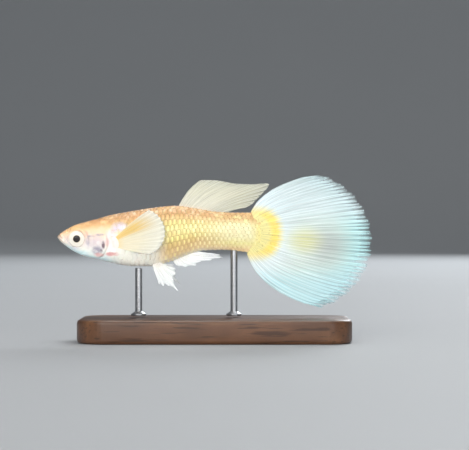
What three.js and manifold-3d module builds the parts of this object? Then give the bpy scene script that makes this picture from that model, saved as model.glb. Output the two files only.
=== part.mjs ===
// A male fancy guppy as a life-size display model: a deep, compressed body with an upturned mouth,
// a swept-back dorsal fin and a round fan of a tail, held over a small plate by two thin rods.
// Millimetres, +Z up. The fish looks along -X and its left side faces -Y. The origin is on the
// floor, under the middle of the whole fish.
//
// The fish's own frame is (s, y, h): s is the distance behind the tip of the snout and h the height
// above it.
import * as THREE from 'three';
import { mergeVertices } from 'three/addons/utils/BufferGeometryUtils.js';
import Module from 'manifold-3d';

// Driving dimensions
const bodyLength = 35.2; // snout to the end of the tail stalk
const totalLength = 53.5; // snout to the rim of the tail fin
const snoutHeight = 17.7; // snout above the floor
const gap = 0.3; // clearance between neighbouring pieces
const seam = 0.24; // clearance at the fine joints of the face
const finThickness = 0.52; // membrane of a fin
const ray = { relief: 0.17, notch: 1 }; // height on each face, and the rim's dip between two rays

const eye = { s: 3.42, h: -0.3, y: 1.42, radius: 1.45, depth: 0.92 };
const pupil = { radius: 0.6, rise: 0.1 };
const socketRim = { clear: 0.08, radius: 0.16, out: 0.36, lean: 10 };
const mouth = { s: 0.32, h: 0.46, slope: 54, reach: 1.55, jawEnd: 4.2 };
const jawReach = { ahead: 4, below: 4.5, side: 4 }; // clear of the body on three sides
const lip = { radius: 0.21, width: 1.0, length: 1.15, upper: -0.3, lower: 0.06 };
const nostril = { s: 1.75, h: 0.95, radius: 0.2, pitch: [0.55, 0.4] };
const gillArc = { s: 3.3, h: -0.6, radius: 5.5 }; // circle that bounds the head behind
const cover = { s: 5.85, h: -1.02, radius: 2.85, depth: 0.6, rise: 0.12 }; // gill cover, a plate
const cheek = { s: 3.1, h: -0.75, radius: 2.3 }; // circle that bounds a gill cover in front
const ventCut = 20.6; // trunk ends and tail stalk starts

const plate = { length: 46, width: 22, height: 4, corner: 5, bevel: 0.7 };
const rod = { radius: 0.6, footRadius: 1.3, footHeight: 0.8, sFront: 13.8, sRear: 30.0 };

const degrees = Math.PI / 180;
const wasm = await Module();
wasm.setup();

// A smooth curve through [place, value] knots that makes no bump of its own between them.
function through(knots) {
  const last = knots.length - 1;
  const slope = knots.map((knot, i) => {
    const before = knots[Math.max(i - 1, 0)];
    const after = knots[Math.min(i + 1, last)];
    const left = i ? (knot[1] - before[1]) / (knot[0] - before[0]) : null;
    const right = i < last ? (after[1] - knot[1]) / (after[0] - knot[0]) : null;
    if (left === null) return right;
    if (right === null) return left;
    return left * right <= 0 ? 0 : (2 * left * right) / (left + right);
  });
  return (place) => {
    const x = THREE.MathUtils.clamp(place, knots[0][0], knots[last][0]);
    let i = 0;
    while (i < last - 1 && x > knots[i + 1][0]) i += 1;
    const width = knots[i + 1][0] - knots[i][0];
    const t = (x - knots[i][0]) / width;
    const a = (1 + 2 * t) * (1 - t) ** 2;
    const b = t * (1 - t) ** 2;
    const c = t * t * (3 - 2 * t);
    const d = t * t * (t - 1);
    return a * knots[i][1] + b * width * slope[i] + c * knots[i + 1][1] + d * width * slope[i + 1];
  };
}

// Body profile: the back, the belly, the height of the widest line and the half width there
const back = through([
  [0, 0.28], [1.3, 1.16], [3, 2.05], [5.5, 2.76], [9, 3.78], [12.3, 4.42], [15.7, 4.97],
  [20, 5.4], [23.4, 4.98], [26.8, 4.42], [30.2, 4.24], [35.2, 4.3],
]);
const belly = through([
  [0, -0.35], [1.3, -1.42], [3, -2.55], [4.7, -3.32], [7.2, -3.84], [10.6, -4.78], [13, -5.07],
  [15.7, -5.08], [19.1, -4.3], [22.5, -2.95], [24.5, -2.38], [28, -2.26], [32, -2.62], [35.2, -3.0],
]);
const widest = through([[0, 0], [3, 0.05], [8, -0.35], [14, -0.7], [20, 0.1], [26, 0.85], [35.2, 0.85]]);
const halfWidth = through([
  [0, 0.85], [1.3, 1.42], [3, 2.0], [5.5, 2.42], [8.5, 2.68], [12.5, 2.8], [16, 2.66], [20, 2.15],
  [24, 1.62], [28, 1.28], [32, 1.0], [35.2, 0.7],
]);
// How square the section is over and under its widest line: 2 is an ellipse
const squareAbove = through([[0, 2.2], [4, 2.5], [9, 2.3], [16, 2.0], [22, 1.8], [35.2, 1.9]]);
const squareBelow = through([[0, 2.1], [5, 1.9], [12, 2.1], [19, 1.8], [26, 1.8], [35.2, 1.9]]);
const noseLength = 0.75;
const stalkRounding = 2.9;
const stalkPower = 2.6; // 2 would round the stalk's end off as an ellipse

// The share of its full size that a section keeps as the snout and the tail stalk round off.
function closing(s) {
  const nose = THREE.MathUtils.clamp(s / noseLength, 0, 1);
  const tail = THREE.MathUtils.clamp((bodyLength - s) / stalkRounding, 0, 1);
  return Math.sqrt(1 - (1 - nose) ** 2) * (1 - (1 - tail) ** stalkPower) ** (1 / stalkPower);
}

// Point on the body's surface. The angle runs from the back (0) down the left side (y below 0).
function bodyPoint(s, angle, grow = 0) {
  const across = Math.sin(angle);
  const up = Math.cos(angle);
  const share = closing(s);
  const square = up >= 0 ? squareAbove(s) : squareBelow(s);
  const rounded = (value) => Math.sign(value) * Math.abs(value) ** (2 / square);
  const reach = up >= 0 ? back(s) - widest(s) : widest(s) - belly(s);
  const y = -(halfWidth(s) * share + grow) * rounded(across);
  const h = widest(s) + (reach * share + grow) * rounded(up);
  return new THREE.Vector3(s, y, h);
}

// Half width of the body at a height, found along its section.
function sideAt(s, h) {
  let low = 0;
  let high = Math.PI;
  for (let i = 0; i < 30; i += 1) {
    const middle = (low + high) / 2;
    if (bodyPoint(s, middle).z > h) low = middle;
    else high = middle;
  }
  return -bodyPoint(s, low).y;
}

// Meshes: rings joined into one closed skin, and a sheet with two faces split alike
function closedMesh(positions, faces) {
  const geometry = new THREE.BufferGeometry();
  const numbers = positions.flatMap((p) => [p.x, p.y, p.z]);
  geometry.setAttribute('position', new THREE.Float32BufferAttribute(numbers, 3));
  geometry.setIndex(faces.flat());
  return geometry;
}

function loft(rings, first, last) {
  const around = rings[0].length;
  const positions = [first, ...rings.flat(), last];
  const faces = [];
  const at = (ring, i) => 1 + ring * around + (i % around);
  for (let i = 0; i < around; i += 1) {
    faces.push([0, at(0, i + 1), at(0, i)]);
    faces.push([positions.length - 1, at(rings.length - 1, i), at(rings.length - 1, i + 1)]);
    for (let ring = 0; ring < rings.length - 1; ring += 1) {
      faces.push([at(ring, i), at(ring, i + 1), at(ring + 1, i + 1)]);
      faces.push([at(ring, i), at(ring + 1, i + 1), at(ring + 1, i)]);
    }
  }
  return closedMesh(positions, faces);
}

// A fin: columns run along it from front to back and rows from root to tip. middle(u, v) is the
// mid surface and half(column, v) half the thickness, measured across the fish.
function finSheet(columns, rows, middle, half) {
  const positions = [];
  const faces = [];
  for (let face = 0; face < 2; face += 1) {
    for (let column = 0; column < columns; column += 1) {
      for (let row = 0; row < rows; row += 1) {
        const point = middle(column, row / (rows - 1));
        point.y += (face ? 1 : -1) * half(column, row / (rows - 1));
        positions.push(point);
      }
    }
  }
  const at = (face, column, row) => (face * columns + column) * rows + row;
  const quad = (a, b, c, d) => faces.push([a, b, c], [a, c, d]);
  for (let column = 0; column < columns - 1; column += 1) {
    for (let row = 0; row < rows - 1; row += 1) {
      const corners = [[column, row], [column + 1, row], [column + 1, row + 1], [column, row + 1]];
      quad(...corners.map((corner) => at(0, ...corner)));
      const far = corners.map((corner) => at(1, ...corner));
      faces.push([far[0], far[2], far[1]], [far[0], far[3], far[2]]);
    }
    const rim = rows - 1;
    quad(at(1, column, 0), at(1, column + 1, 0), at(0, column + 1, 0), at(0, column, 0));
    quad(at(0, column, rim), at(0, column + 1, rim), at(1, column + 1, rim), at(1, column, rim));
  }
  for (let row = 0; row < rows - 1; row += 1) {
    const end = columns - 1;
    quad(at(0, 0, row), at(0, 0, row + 1), at(1, 0, row + 1), at(1, 0, row));
    quad(at(0, end, row + 1), at(0, end, row), at(1, end, row), at(1, end, row + 1));
  }
  return closedMesh(positions, faces);
}

// Solids: three.js makes each shape, and the solids are only joined and cut
function solid(geometry) {
  const bare = new THREE.BufferGeometry();
  bare.setAttribute('position', geometry.getAttribute('position'));
  bare.setIndex(geometry.index);
  const merged = mergeVertices(bare, 1e-4);
  const made = new wasm.Manifold(new wasm.Mesh({
    numProp: 3,
    vertProperties: merged.getAttribute('position').array,
    triVerts: new Uint32Array(merged.index.array),
  }));
  if (made.volume() > 0) return made;
  const turned = new Uint32Array(merged.index.array);
  for (let i = 0; i < turned.length; i += 3) [turned[i], turned[i + 1]] = [turned[i + 1], turned[i]];
  return new wasm.Manifold(new wasm.Mesh({
    numProp: 3,
    vertProperties: merged.getAttribute('position').array,
    triVerts: turned,
  }));
}

// The largest closed piece of a solid, as a geometry.
function geometryOf(made) {
  const [largest] = made.decompose().sort((a, b) => b.volume() - a.volume());
  const { vertProperties, triVerts } = largest.getMesh();
  const geometry = new THREE.BufferGeometry();
  geometry.setAttribute('position', new THREE.BufferAttribute(new Float32Array(vertProperties), 3));
  geometry.setIndex(new THREE.BufferAttribute(new Uint32Array(triVerts), 1));
  geometry.computeVertexNormals();
  return geometry;
}

// The body's stations lie close together on the head and where an end rounds off.
function stationsUpTo(end, spacing) {
  const stations = [];
  for (let s = 0.04; s < end;) {
    stations.push(s);
    const toEnd = bodyLength - s;
    if (s < 1) s += 0.19 * spacing;
    else if (s < 10) s += 0.55 * spacing;
    else if (toEnd > stalkRounding) s += Math.min(1.1, toEnd - stalkRounding + 0.05);
    else s += Math.max(toEnd * 0.4, 0.06);
  }
  return stations;
}

function bodySolid(grow = 0, around = 28, spacing = 1) {
  const ringAt = (s) => Array.from({ length: around }, (_, i) => {
    const point = bodyPoint(s, (2 * Math.PI * (i + 0.5)) / around, grow);
    point.x = s + grow * ((2 * s) / bodyLength - 1);
    return point;
  });
  const rings = stationsUpTo(bodyLength - 0.04, spacing).map(ringAt);
  const first = new THREE.Vector3(-grow, 0, (back(0) + belly(0)) / 2);
  const last = new THREE.Vector3(bodyLength + grow, 0, widest(bodyLength));
  return solid(loft(rings, first, last));
}

// A cylinder across the fish: round, centred on (s, h), between two distances from its middle.
function crossCylinder(s, h, radius, from, to, segments = 40) {
  const made = new THREE.CylinderGeometry(radius, radius, to - from, segments);
  made.translate(s, (from + to) / 2, 0);
  made.translate(0, 0, h);
  return solid(made);
}

function block(low, high) {
  const made = new THREE.BoxGeometry(high[0] - low[0], high[1] - low[1], high[2] - low[2]);
  made.translate((low[0] + high[0]) / 2, (low[1] + high[1]) / 2, (low[2] + high[2]) / 2);
  return solid(made);
}

const body = bodySolid();
const bodyWithGap = bodySolid(gap);

// Head: all of the body inside the gill arc. The lower jaw, the gill covers and the eyes are
// pieces of their own, set into it.
const headRegion = (grow) => crossCylinder(gillArc.s, gillArc.h, gillArc.radius + grow, -6, 6, 56);

// The mouth is a slanting cut down from the top of the snout. The lower jaw is what lies in front
// of it, as far back as the corner of the mouth.
const mouthAlong = [Math.cos(mouth.slope * degrees), -Math.sin(mouth.slope * degrees)];

function jawRegion(grow) {
  const along = new THREE.Vector2(...mouthAlong);
  const behind = new THREE.Vector2(-along.y, along.x).multiplyScalar(grow);
  const start = new THREE.Vector2(mouth.s, mouth.h).addScaledVector(along, -jawReach.ahead).add(behind);
  const corner = new THREE.Vector2(mouth.s, mouth.h).addScaledVector(along, mouth.reach).add(behind);
  const shape = new THREE.Shape([
    start,
    corner,
    new THREE.Vector2(mouth.jawEnd + grow, -jawReach.below),
    new THREE.Vector2(-jawReach.ahead, -jawReach.below),
  ]);
  const made = new THREE.ExtrudeGeometry(shape, { depth: 2 * jawReach.side, bevelEnabled: false });
  made.rotateX(Math.PI / 2);
  made.translate(0, jawReach.side, 0);
  return solid(made);
}

// A lip follows the rim of the mouth as half of an oval ring.
function lipSolid(offset) {
  const along = new THREE.Vector3(mouthAlong[0], 0, mouthAlong[1]);
  const forward = new THREE.Vector3(along.z, 0, -along.x);
  const centre = new THREE.Vector3(mouth.s, 0, mouth.h)
    .addScaledVector(along, lip.length + 0.1)
    .addScaledVector(forward, offset);
  const steps = 12;
  const around = 6;
  const rings = [];
  for (let i = 0; i <= steps; i += 1) {
    const angle = Math.PI * (i / steps);
    const out = new THREE.Vector3(0, Math.cos(angle) * lip.width, 0)
      .addScaledVector(along, -Math.sin(angle) * lip.length);
    const place = centre.clone().add(out);
    const outward = out.normalize();
    rings.push(Array.from({ length: around }, (_, k) => {
      const turn = (2 * Math.PI * k) / around;
      return place.clone()
        .addScaledVector(outward, Math.cos(turn) * lip.radius)
        .addScaledVector(forward, Math.sin(turn) * lip.radius);
    }));
  }
  const middleOf = (ring) => ring.reduce((sum, p) => sum.add(p), new THREE.Vector3()).divideScalar(around);
  return solid(loft(rings, middleOf(rings[0]), middleOf(rings[steps])));
}

function eyeball(side, grow) {
  const ball = new THREE.SphereGeometry(1, 22, 12);
  ball.scale(eye.radius + grow, eye.depth + grow, eye.radius + grow);
  ball.translate(eye.s, side * eye.y, eye.h);
  return solid(ball);
}

// The iris is the ball's flat-faced cap and the pupil a small lens that bulges out of it.
function eyeSolid(side) {
  const lens = new THREE.SphereGeometry(pupil.radius, 14, 8);
  lens.scale(1, 0.5, 1);
  lens.translate(eye.s, side * (eye.y + eye.depth - 0.2 + pupil.rise), eye.h);
  return eyeball(side, 0).add(solid(lens));
}

// A raised rim of skin round the eye socket.
function orbit(side) {
  const around = eye.radius + seam + socketRim.clear;
  const rim = new THREE.TorusGeometry(around, socketRim.radius, 6, 20);
  rim.rotateX(Math.PI / 2);
  rim.rotateZ(side * socketRim.lean * degrees);
  rim.translate(eye.s, side * (eye.y + socketRim.out), eye.h);
  return solid(rim);
}

function nostrilPit(side, place) {
  const pit = new THREE.SphereGeometry(nostril.radius, 7, 4);
  const s = nostril.s + place * nostril.pitch[0];
  const h = nostril.h + place * nostril.pitch[1];
  pit.translate(s, side * (sideAt(s, h) - 0.02), h);
  return solid(pit);
}

// Each gill cover is a crescent behind the cheek, down to the throat, where a strip is left between
// the two.
const throat = 0.9;
const innerBody = bodySolid(-cover.depth, 18, 3);
const innerBodyWithGap = bodySolid(-cover.depth - seam, 18, 3);
const coverRegion = (side, grow) => {
  const low = side < 0 ? -6 : throat - grow;
  const high = side < 0 ? -throat + grow : 6;
  const round = crossCylinder(cover.s, cover.h, cover.radius + grow, low, high);
  return round.subtract(crossCylinder(cheek.s, cheek.h, cheek.radius - grow, -7, 7));
};

const sides = [['left', -1], ['right', 1]];
const wholeHead = body.intersect(headRegion(0));
const eyeHollows = sides.map(([, side]) => eyeball(side, seam));
const faceWithLips = wholeHead.add(lipSolid(lip.upper)).add(orbit(-1)).add(orbit(1));

let head = faceWithLips.subtract(jawRegion(seam));
for (const [, side] of sides) {
  head = head.subtract(coverRegion(side, seam).subtract(innerBodyWithGap));
  head = head.subtract(nostrilPit(side, 0)).subtract(nostrilPit(side, 1));
}
for (const hollow of eyeHollows) head = head.subtract(hollow);

const lowerJaw = wholeHead.add(lipSolid(lip.lower)).intersect(jawRegion(0));

function gillCover(side) {
  return bodySolid(cover.rise)
    .intersect(coverRegion(side, 0))
    .intersect(headRegion(0))
    .subtract(innerBody);
}

// Trunk and tail stalk
const trunk = body
  .subtract(headRegion(gap))
  .intersect(block([gillArc.s, -8, -8], [ventCut, 8, 8]));
const tailStalk = body.intersect(block([ventCut + gap, -8, -8], [bodyLength + 1, 8, 8]));

// Fins. Each ray is a bend from its root to its tip. Branched rays split in two on the way out, so
// a ray takes four columns, and plain rays take two.
function bend(root, knee, tip, v) {
  const a = (1 - v) ** 2;
  const b = 2 * v * (1 - v);
  const c = v * v;
  return new THREE.Vector3(
    a * root[0] + b * knee[0] + c * tip[0],
    0,
    a * root[1] + b * knee[1] + c * tip[1],
  );
}

function alongCurve(points) {
  const places = points.map(([s, h]) => new THREE.Vector3(s, 0, h));
  const curve = new THREE.CatmullRomCurve3(places, false, 'centripetal');
  return (u) => {
    const point = curve.getPointAt(THREE.MathUtils.clamp(u, 0, 1));
    return [point.x, point.z];
  };
}

const smooth = THREE.MathUtils.smoothstep;

// Half the thickness of a fin: its membrane, with the rays standing out of it, thinner to the tip.
function finHalf(branched, rootExtra = 0) {
  return (column, v) => {
    const thin = 1 - 0.4 * smooth(v, 0.75, 1);
    const root = rootExtra * (1 - smooth(v, 0, 0.3));
    const split = branched ? smooth(v, 0.25, 0.6) : 0;
    const stem = branched ? [0.35, 1, 0.35, 0][column % 4] : [1, 0][column % 2];
    const fork = branched ? [0.9, 0.3, 0.9, 0][column % 4] : stem;
    const ridge = THREE.MathUtils.lerp(stem, fork, split) * (0.55 + 0.45 * smooth(v, 0, 0.35));
    return (finThickness / 2 + root + ridge * ray.relief) * thin;
  };
}

// Tail fin: a fan whose rim is an arc of one circle. The rays' ends stand out of the rim as a fringe.
const tailFan = { s: 41.6, h: -0.7, radius: 11.9, top: 77, bottom: -75, rays: 20, fringe: 0.6 };
const tailRoot = alongCurve([[32.9, 4.25], [33.5, 2.6], [33.7, 0.8], [33.3, -1.1], [32.2, -2.75]]);
const tailKnee = alongCurve([[34.6, 8.6], [37.6, 4.2], [38.9, 0.4], [37.2, -4.4], [34.0, -9.2]]);
const tailColumns = 4 * tailFan.rays - 1;
const tailWave = { start: 34, reach: 19, sway: 0.75, ripple: 0.5 }; // the fan is not flat

function tailMiddle(column, v) {
  const u = column / (tailColumns - 1);
  const angle = THREE.MathUtils.lerp(tailFan.top, tailFan.bottom, u) * degrees;
  const notch = [0, 0.7, 0, 1][column % 4] * tailFan.fringe * ray.notch;
  const radius = tailFan.radius - notch;
  const tip = [tailFan.s + radius * Math.cos(angle), tailFan.h + radius * Math.sin(angle)];
  const point = bend(tailRoot(u), tailKnee(u), tip, v);
  const far = Math.max(point.x - tailWave.start, 0) / tailWave.reach;
  point.y = tailWave.sway * far * Math.sin(5.2 * far + 2.4 * (u - 0.5));
  point.y += tailWave.ripple * far * far * Math.sin(9 * u);
  return point;
}

// Dorsal fin: a short root, long rays swept back over the tail stalk
const dorsalRays = 7;
const dorsalColumns = 4 * dorsalRays - 1;
const dorsalWave = { start: 4.5, lean: 0.06, wave: 0.11, turn: 0.42 };
const dorsalNotch = 0.035;
const dorsalRoot = alongCurve([[20.3, 4.6], [22.4, 4.4], [24.6, 4.0], [26.9, 3.6]]);
const dorsalKnee = alongCurve([[21.7, 8.0], [25.3, 7.2], [28.6, 6.2], [30.6, 4.9]]);
const dorsalTip = alongCurve([
  [24.3, 9.7], [27.2, 9.62], [30.0, 9.1], [33.0, 8.95], [35.9, 8.98], [35.5, 8.1], [34.1, 6.7],
  [33.1, 5.6], [32.0, 4.95],
]);

function dorsalMiddle(column, v) {
  const u = column / (dorsalColumns - 1);
  const notch = [0, 0.4, 0, 1][column % 4] * dorsalNotch * ray.notch;
  const point = bend(dorsalRoot(u), dorsalKnee(u), dorsalTip(u), v * (1 - notch * smooth(v, 0.6, 1)));
  const over = Math.max(point.z - dorsalWave.start, 0);
  const wave = dorsalWave.wave * Math.sin(dorsalWave.turn * (point.x - 22));
  point.y = over * (dorsalWave.lean + wave);
  return point;
}

// Anal fin: laid back along the belly, its long rear rays drawn out into the rod of a male
const analRays = 8;
const analColumns = 2 * analRays - 1;
const analRoot = alongCurve([[19.4, -3.6], [20.6, -3.1], [21.8, -2.6], [23.0, -2.1]]);
const analKnee = alongCurve([[19.9, -4.9], [22.2, -4.2], [24.0, -3.3], [24.8, -2.75]]);
const analTips = [
  [20.7, -4.95], [21.7, -5.05], [23.5, -4.85], [24.2, -4.2], [25.9, -3.95], [28.1, -3.5], [27.6, -2.98],
  [26.4, -2.72],
];

// Pelvic fins: a small fan from one point under the belly, with the second ray drawn out long
const pelvicRays = 7;
const pelvicColumns = 2 * pelvicRays - 1;
const pelvicApex = [15.9, -4.75];
const pelvicTips = [
  [17.3, -7.95], [18.1, -8.3], [18.9, -8.2], [20.6, -9.1], [19.75, -7.45], [20.15, -6.2], [20.0, -5.3],
];

const rimNotch = 0.08;

// A plain-rayed fin from a root curve and a tip for each ray. Between two rays the rim is drawn in.
function rayedMiddle(rootOf, kneeOf, tips, notch) {
  return (column, v) => {
    const u = column / (2 * tips.length - 2);
    const before = tips[Math.floor(column / 2)];
    const after = tips[Math.ceil(column / 2)];
    const between = [(before[0] + after[0]) / 2, (before[1] + after[1]) / 2];
    const root = rootOf(u);
    const pull = column % 2 ? notch * ray.notch : 0;
    const tip = [
      THREE.MathUtils.lerp(between[0], root[0], pull),
      THREE.MathUtils.lerp(between[1], root[1], pull),
    ];
    return bend(root, kneeOf(u, root, tip), tip, v);
  };
}

const analMiddle = rayedMiddle(analRoot, analKnee, analTips, rimNotch);

function pelvicMiddle(side, swing, reach) {
  const turn = (point) => {
    const [ds, dh] = [(point[0] - pelvicApex[0]) * reach, (point[1] - pelvicApex[1]) * reach];
    const [cos, sin] = [Math.cos(swing * degrees), Math.sin(swing * degrees)];
    return [pelvicApex[0] + ds * cos - dh * sin, pelvicApex[1] + ds * sin + dh * cos];
  };
  const rootOf = (u) => [pelvicApex[0] - 0.1 + 1.5 * u, pelvicApex[1] + 0.75 - 0.15 * u];
  const kneeOf = (u, root, tip) => [(root[0] + tip[0]) / 2 + 0.1, (root[1] + tip[1]) / 2 - 0.35 * u];
  const flat = rayedMiddle(rootOf, kneeOf, pelvicTips.map(turn), rimNotch);
  return (column, v) => {
    const point = flat(column, v);
    const down = Math.max(pelvicApex[1] - point.z, 0);
    point.y = side * (0.75 + 0.42 * down + 0.05 * (point.x - pelvicApex[0]));
    return point;
  };
}

// Pectoral fins: a round fan from the side of the shoulder, standing a little off the flank
const pectoralRays = 12;
const pectoralColumns = 2 * pectoralRays - 1;
const pectoralFan = { s: 14.5, h: 0.8, radius: 4.05, top: 72, bottom: -66 };
const pectoralRoot = { s: 9.75, top: -0.3, bottom: -1.75, lean: 0.55, sunk: 0.35 };
const pectoralNotch = 0.16;

function pectoralMiddle(side) {
  return (column, v) => {
    const u = column / (pectoralColumns - 1);
    const angle = THREE.MathUtils.lerp(pectoralFan.top, pectoralFan.bottom, u) * degrees;
    const radius = pectoralFan.radius - (column % 2) * pectoralNotch * ray.notch;
    const tip = [pectoralFan.s + radius * Math.cos(angle), pectoralFan.h + radius * Math.sin(angle)];
    const root = [
      pectoralRoot.s + pectoralRoot.lean * u,
      THREE.MathUtils.lerp(pectoralRoot.top, pectoralRoot.bottom, u),
    ];
    const knee = [(root[0] + tip[0]) / 2 - 0.3, (root[1] + tip[1]) / 2 + 0.5 * (0.5 - u)];
    const point = bend(root, knee, tip, v);
    const away = 2.5 * v + 0.9 * v * v - 0.8 * v * v * v;
    point.y = side * (sideAt(root[0], root[1]) - pectoralRoot.sunk + away);
    return point;
  };
}

function finSolid(columns, rows, middle, half) {
  return solid(finSheet(columns, rows, middle, half)).subtract(bodyWithGap);
}

// Stand: a plate with a bevelled edge and two rods, each with a small foot
function plateSolid() {
  const { length, width, height, corner, bevel } = plate;
  const [x, y] = [length / 2 - bevel, width / 2 - bevel];
  const shape = new THREE.Shape();
  shape.moveTo(-x + corner, -y);
  shape.lineTo(x - corner, -y);
  shape.absarc(x - corner, -y + corner, corner, -Math.PI / 2, 0);
  shape.lineTo(x, y - corner);
  shape.absarc(x - corner, y - corner, corner, 0, Math.PI / 2);
  shape.lineTo(-x + corner, y);
  shape.absarc(-x + corner, y - corner, corner, Math.PI / 2, Math.PI);
  shape.lineTo(-x, -y + corner);
  shape.absarc(-x + corner, -y + corner, corner, Math.PI, 1.5 * Math.PI);
  const made = new THREE.ExtrudeGeometry(shape, {
    depth: height - 2 * bevel,
    bevelThickness: bevel,
    bevelSize: bevel,
    bevelSegments: 2,
    curveSegments: 5,
  });
  made.translate(0, 0, bevel);
  return solid(made);
}

const bodyToFloor = new THREE.Matrix4().makeTranslation(-totalLength / 2, 0, snoutHeight);

function rodSolid(s) {
  const profile = [
    [0, plate.height + gap],
    [rod.footRadius, plate.height + gap],
    [rod.footRadius, plate.height + gap + rod.footHeight * 0.5],
    [rod.radius, plate.height + gap + rod.footHeight],
    [rod.radius, snoutHeight + 1],
    [0, snoutHeight + 1],
  ].map(([radius, z]) => new THREE.Vector2(radius, z - snoutHeight));
  const made = new THREE.LatheGeometry(profile, 20);
  made.rotateX(Math.PI / 2);
  made.translate(s, 0, 0);
  const upright = solid(made).subtract(bodyWithGap);
  return upright.intersect(block([s - 2, -2, -snoutHeight], [s + 2, 2, belly(s) + 1]));
}

const materials = {
  skin: { color: 0xf2d9a8, roughness: 0.35, metalness: 0 },
  scales: { color: 0xe8d28a, roughness: 0.3, metalness: 0 },
  gill: { color: 0xeadfe0, roughness: 0.3, metalness: 0 },
  eye: { color: 0xfbf6ea, roughness: 0.15, metalness: 0 },
  fin: { color: 0xe9e8d2, roughness: 0.4, metalness: 0 },
  tail: { color: 0xd2eeee, roughness: 0.4, metalness: 0 },
  wood: { color: 0x4a3120, roughness: 0.45, metalness: 0 },
  steel: { color: 0xb8b8ba, roughness: 0.3, metalness: 1 },
};

const guppy = new THREE.Group();
const fish = new THREE.Group();
fish.applyMatrix4(bodyToFloor);
guppy.add(fish);

function place(group, name, made, finish) {
  const mesh = new THREE.Mesh(geometryOf(made), new THREE.MeshStandardMaterial(materials[finish]));
  mesh.name = name;
  group.add(mesh);
}

place(fish, 'head', head, 'skin');
place(fish, 'lower_jaw', lowerJaw, 'skin');
place(fish, 'trunk', trunk, 'scales');
place(fish, 'tail_stalk', tailStalk, 'scales');
for (const [name, side] of sides) {
  place(fish, `eye_${name}`, eyeSolid(side), 'eye');
  place(fish, `gill_cover_${name}`, gillCover(side), 'gill');
  const pectoral = finSolid(pectoralColumns, 7, pectoralMiddle(side), finHalf(false));
  place(fish, `pectoral_fin_${name}`, pectoral, 'fin');
  const [swing, reach] = side < 0 ? [0, 1] : [9, 0.94];
  const pelvic = finSolid(pelvicColumns, 7, pelvicMiddle(side, swing, reach), finHalf(false));
  place(fish, `pelvic_fin_${name}`, pelvic, 'fin');
}
place(fish, 'dorsal_fin', finSolid(dorsalColumns, 9, dorsalMiddle, finHalf(true)), 'fin');
place(fish, 'anal_fin', finSolid(analColumns, 8, analMiddle, finHalf(false)), 'fin');
place(fish, 'caudal_fin', finSolid(tailColumns, 10, tailMiddle, finHalf(true, 0.15)), 'tail');

const plateMesh = plateSolid();
place(guppy, 'stand_base', plateMesh, 'wood');
place(fish, 'stand_rod_front', rodSolid(rod.sFront), 'steel');
place(fish, 'stand_rod_rear', rodSolid(rod.sRear), 'steel');

export default guppy;
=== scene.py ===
# A male fancy guppy as a life-size display model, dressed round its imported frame.
# Places on the fish are in millimetres: s behind the tip of the snout, y to its right side and
# h above the snout. toRow() turns them into the row's metres.

import math
import random

import bpy
import numpy as np
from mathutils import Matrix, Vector


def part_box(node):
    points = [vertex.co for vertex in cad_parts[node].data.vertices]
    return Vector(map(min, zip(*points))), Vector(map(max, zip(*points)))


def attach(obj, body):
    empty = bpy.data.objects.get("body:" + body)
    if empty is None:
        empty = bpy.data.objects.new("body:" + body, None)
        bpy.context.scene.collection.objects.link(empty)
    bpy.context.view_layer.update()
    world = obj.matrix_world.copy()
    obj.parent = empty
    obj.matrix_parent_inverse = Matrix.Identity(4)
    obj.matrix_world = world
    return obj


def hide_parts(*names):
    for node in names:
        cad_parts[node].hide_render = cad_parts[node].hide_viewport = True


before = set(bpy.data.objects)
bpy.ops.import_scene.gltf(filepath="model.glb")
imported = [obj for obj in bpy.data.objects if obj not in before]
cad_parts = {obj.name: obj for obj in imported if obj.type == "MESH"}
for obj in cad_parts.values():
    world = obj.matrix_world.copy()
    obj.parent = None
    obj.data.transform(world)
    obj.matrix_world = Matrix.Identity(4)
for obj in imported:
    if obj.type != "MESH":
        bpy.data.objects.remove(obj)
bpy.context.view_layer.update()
bpy.ops.object.select_all(action="DESELECT")

mm = 0.001
fish = {
    "totalLength": 53.5,
    "bodyLength": 35.2,
    "snoutHeight": 17.7,
    "bodyName": "root",
}


def toRow(s, y, h):
    return Vector(((s - fish["totalLength"] / 2) * mm, y * mm, (h + fish["snoutHeight"]) * mm))


def rowPlaces(s, y, h):
    x = (s - fish["totalLength"] / 2) * mm
    return np.stack([x, y * mm, (h + fish["snoutHeight"]) * mm], axis=-1)


def readAll(items, what, width=1, kind=float):
    flat = np.empty(len(items) * width, kind)
    items.foreach_get(what, flat)
    return flat.reshape(-1, width) if width > 1 else flat


def vertexRows(mesh, what="co"):
    return readAll(mesh.vertices, what, 3)


def fishPlaces(mesh):
    x, y, z = vertexRows(mesh).T
    return x / mm + fish["totalLength"] / 2, y / mm, z / mm - fish["snoutHeight"]


def setPlaces(mesh, s, y, h):
    mesh.vertices.foreach_set("co", rowPlaces(s, y, h).ravel())
    mesh.update()


def ease(value, low, high):
    share = np.clip((value - low) / (high - low), 0, 1)
    return share * share * (3 - 2 * share)


def between(value, start, full, end, gone):  # rises from start to full, falls from end to gone
    return ease(value, start, full) * (1 - ease(value, end, gone))


def bump(value, width):
    return np.exp(-((value / width) ** 2))


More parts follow.
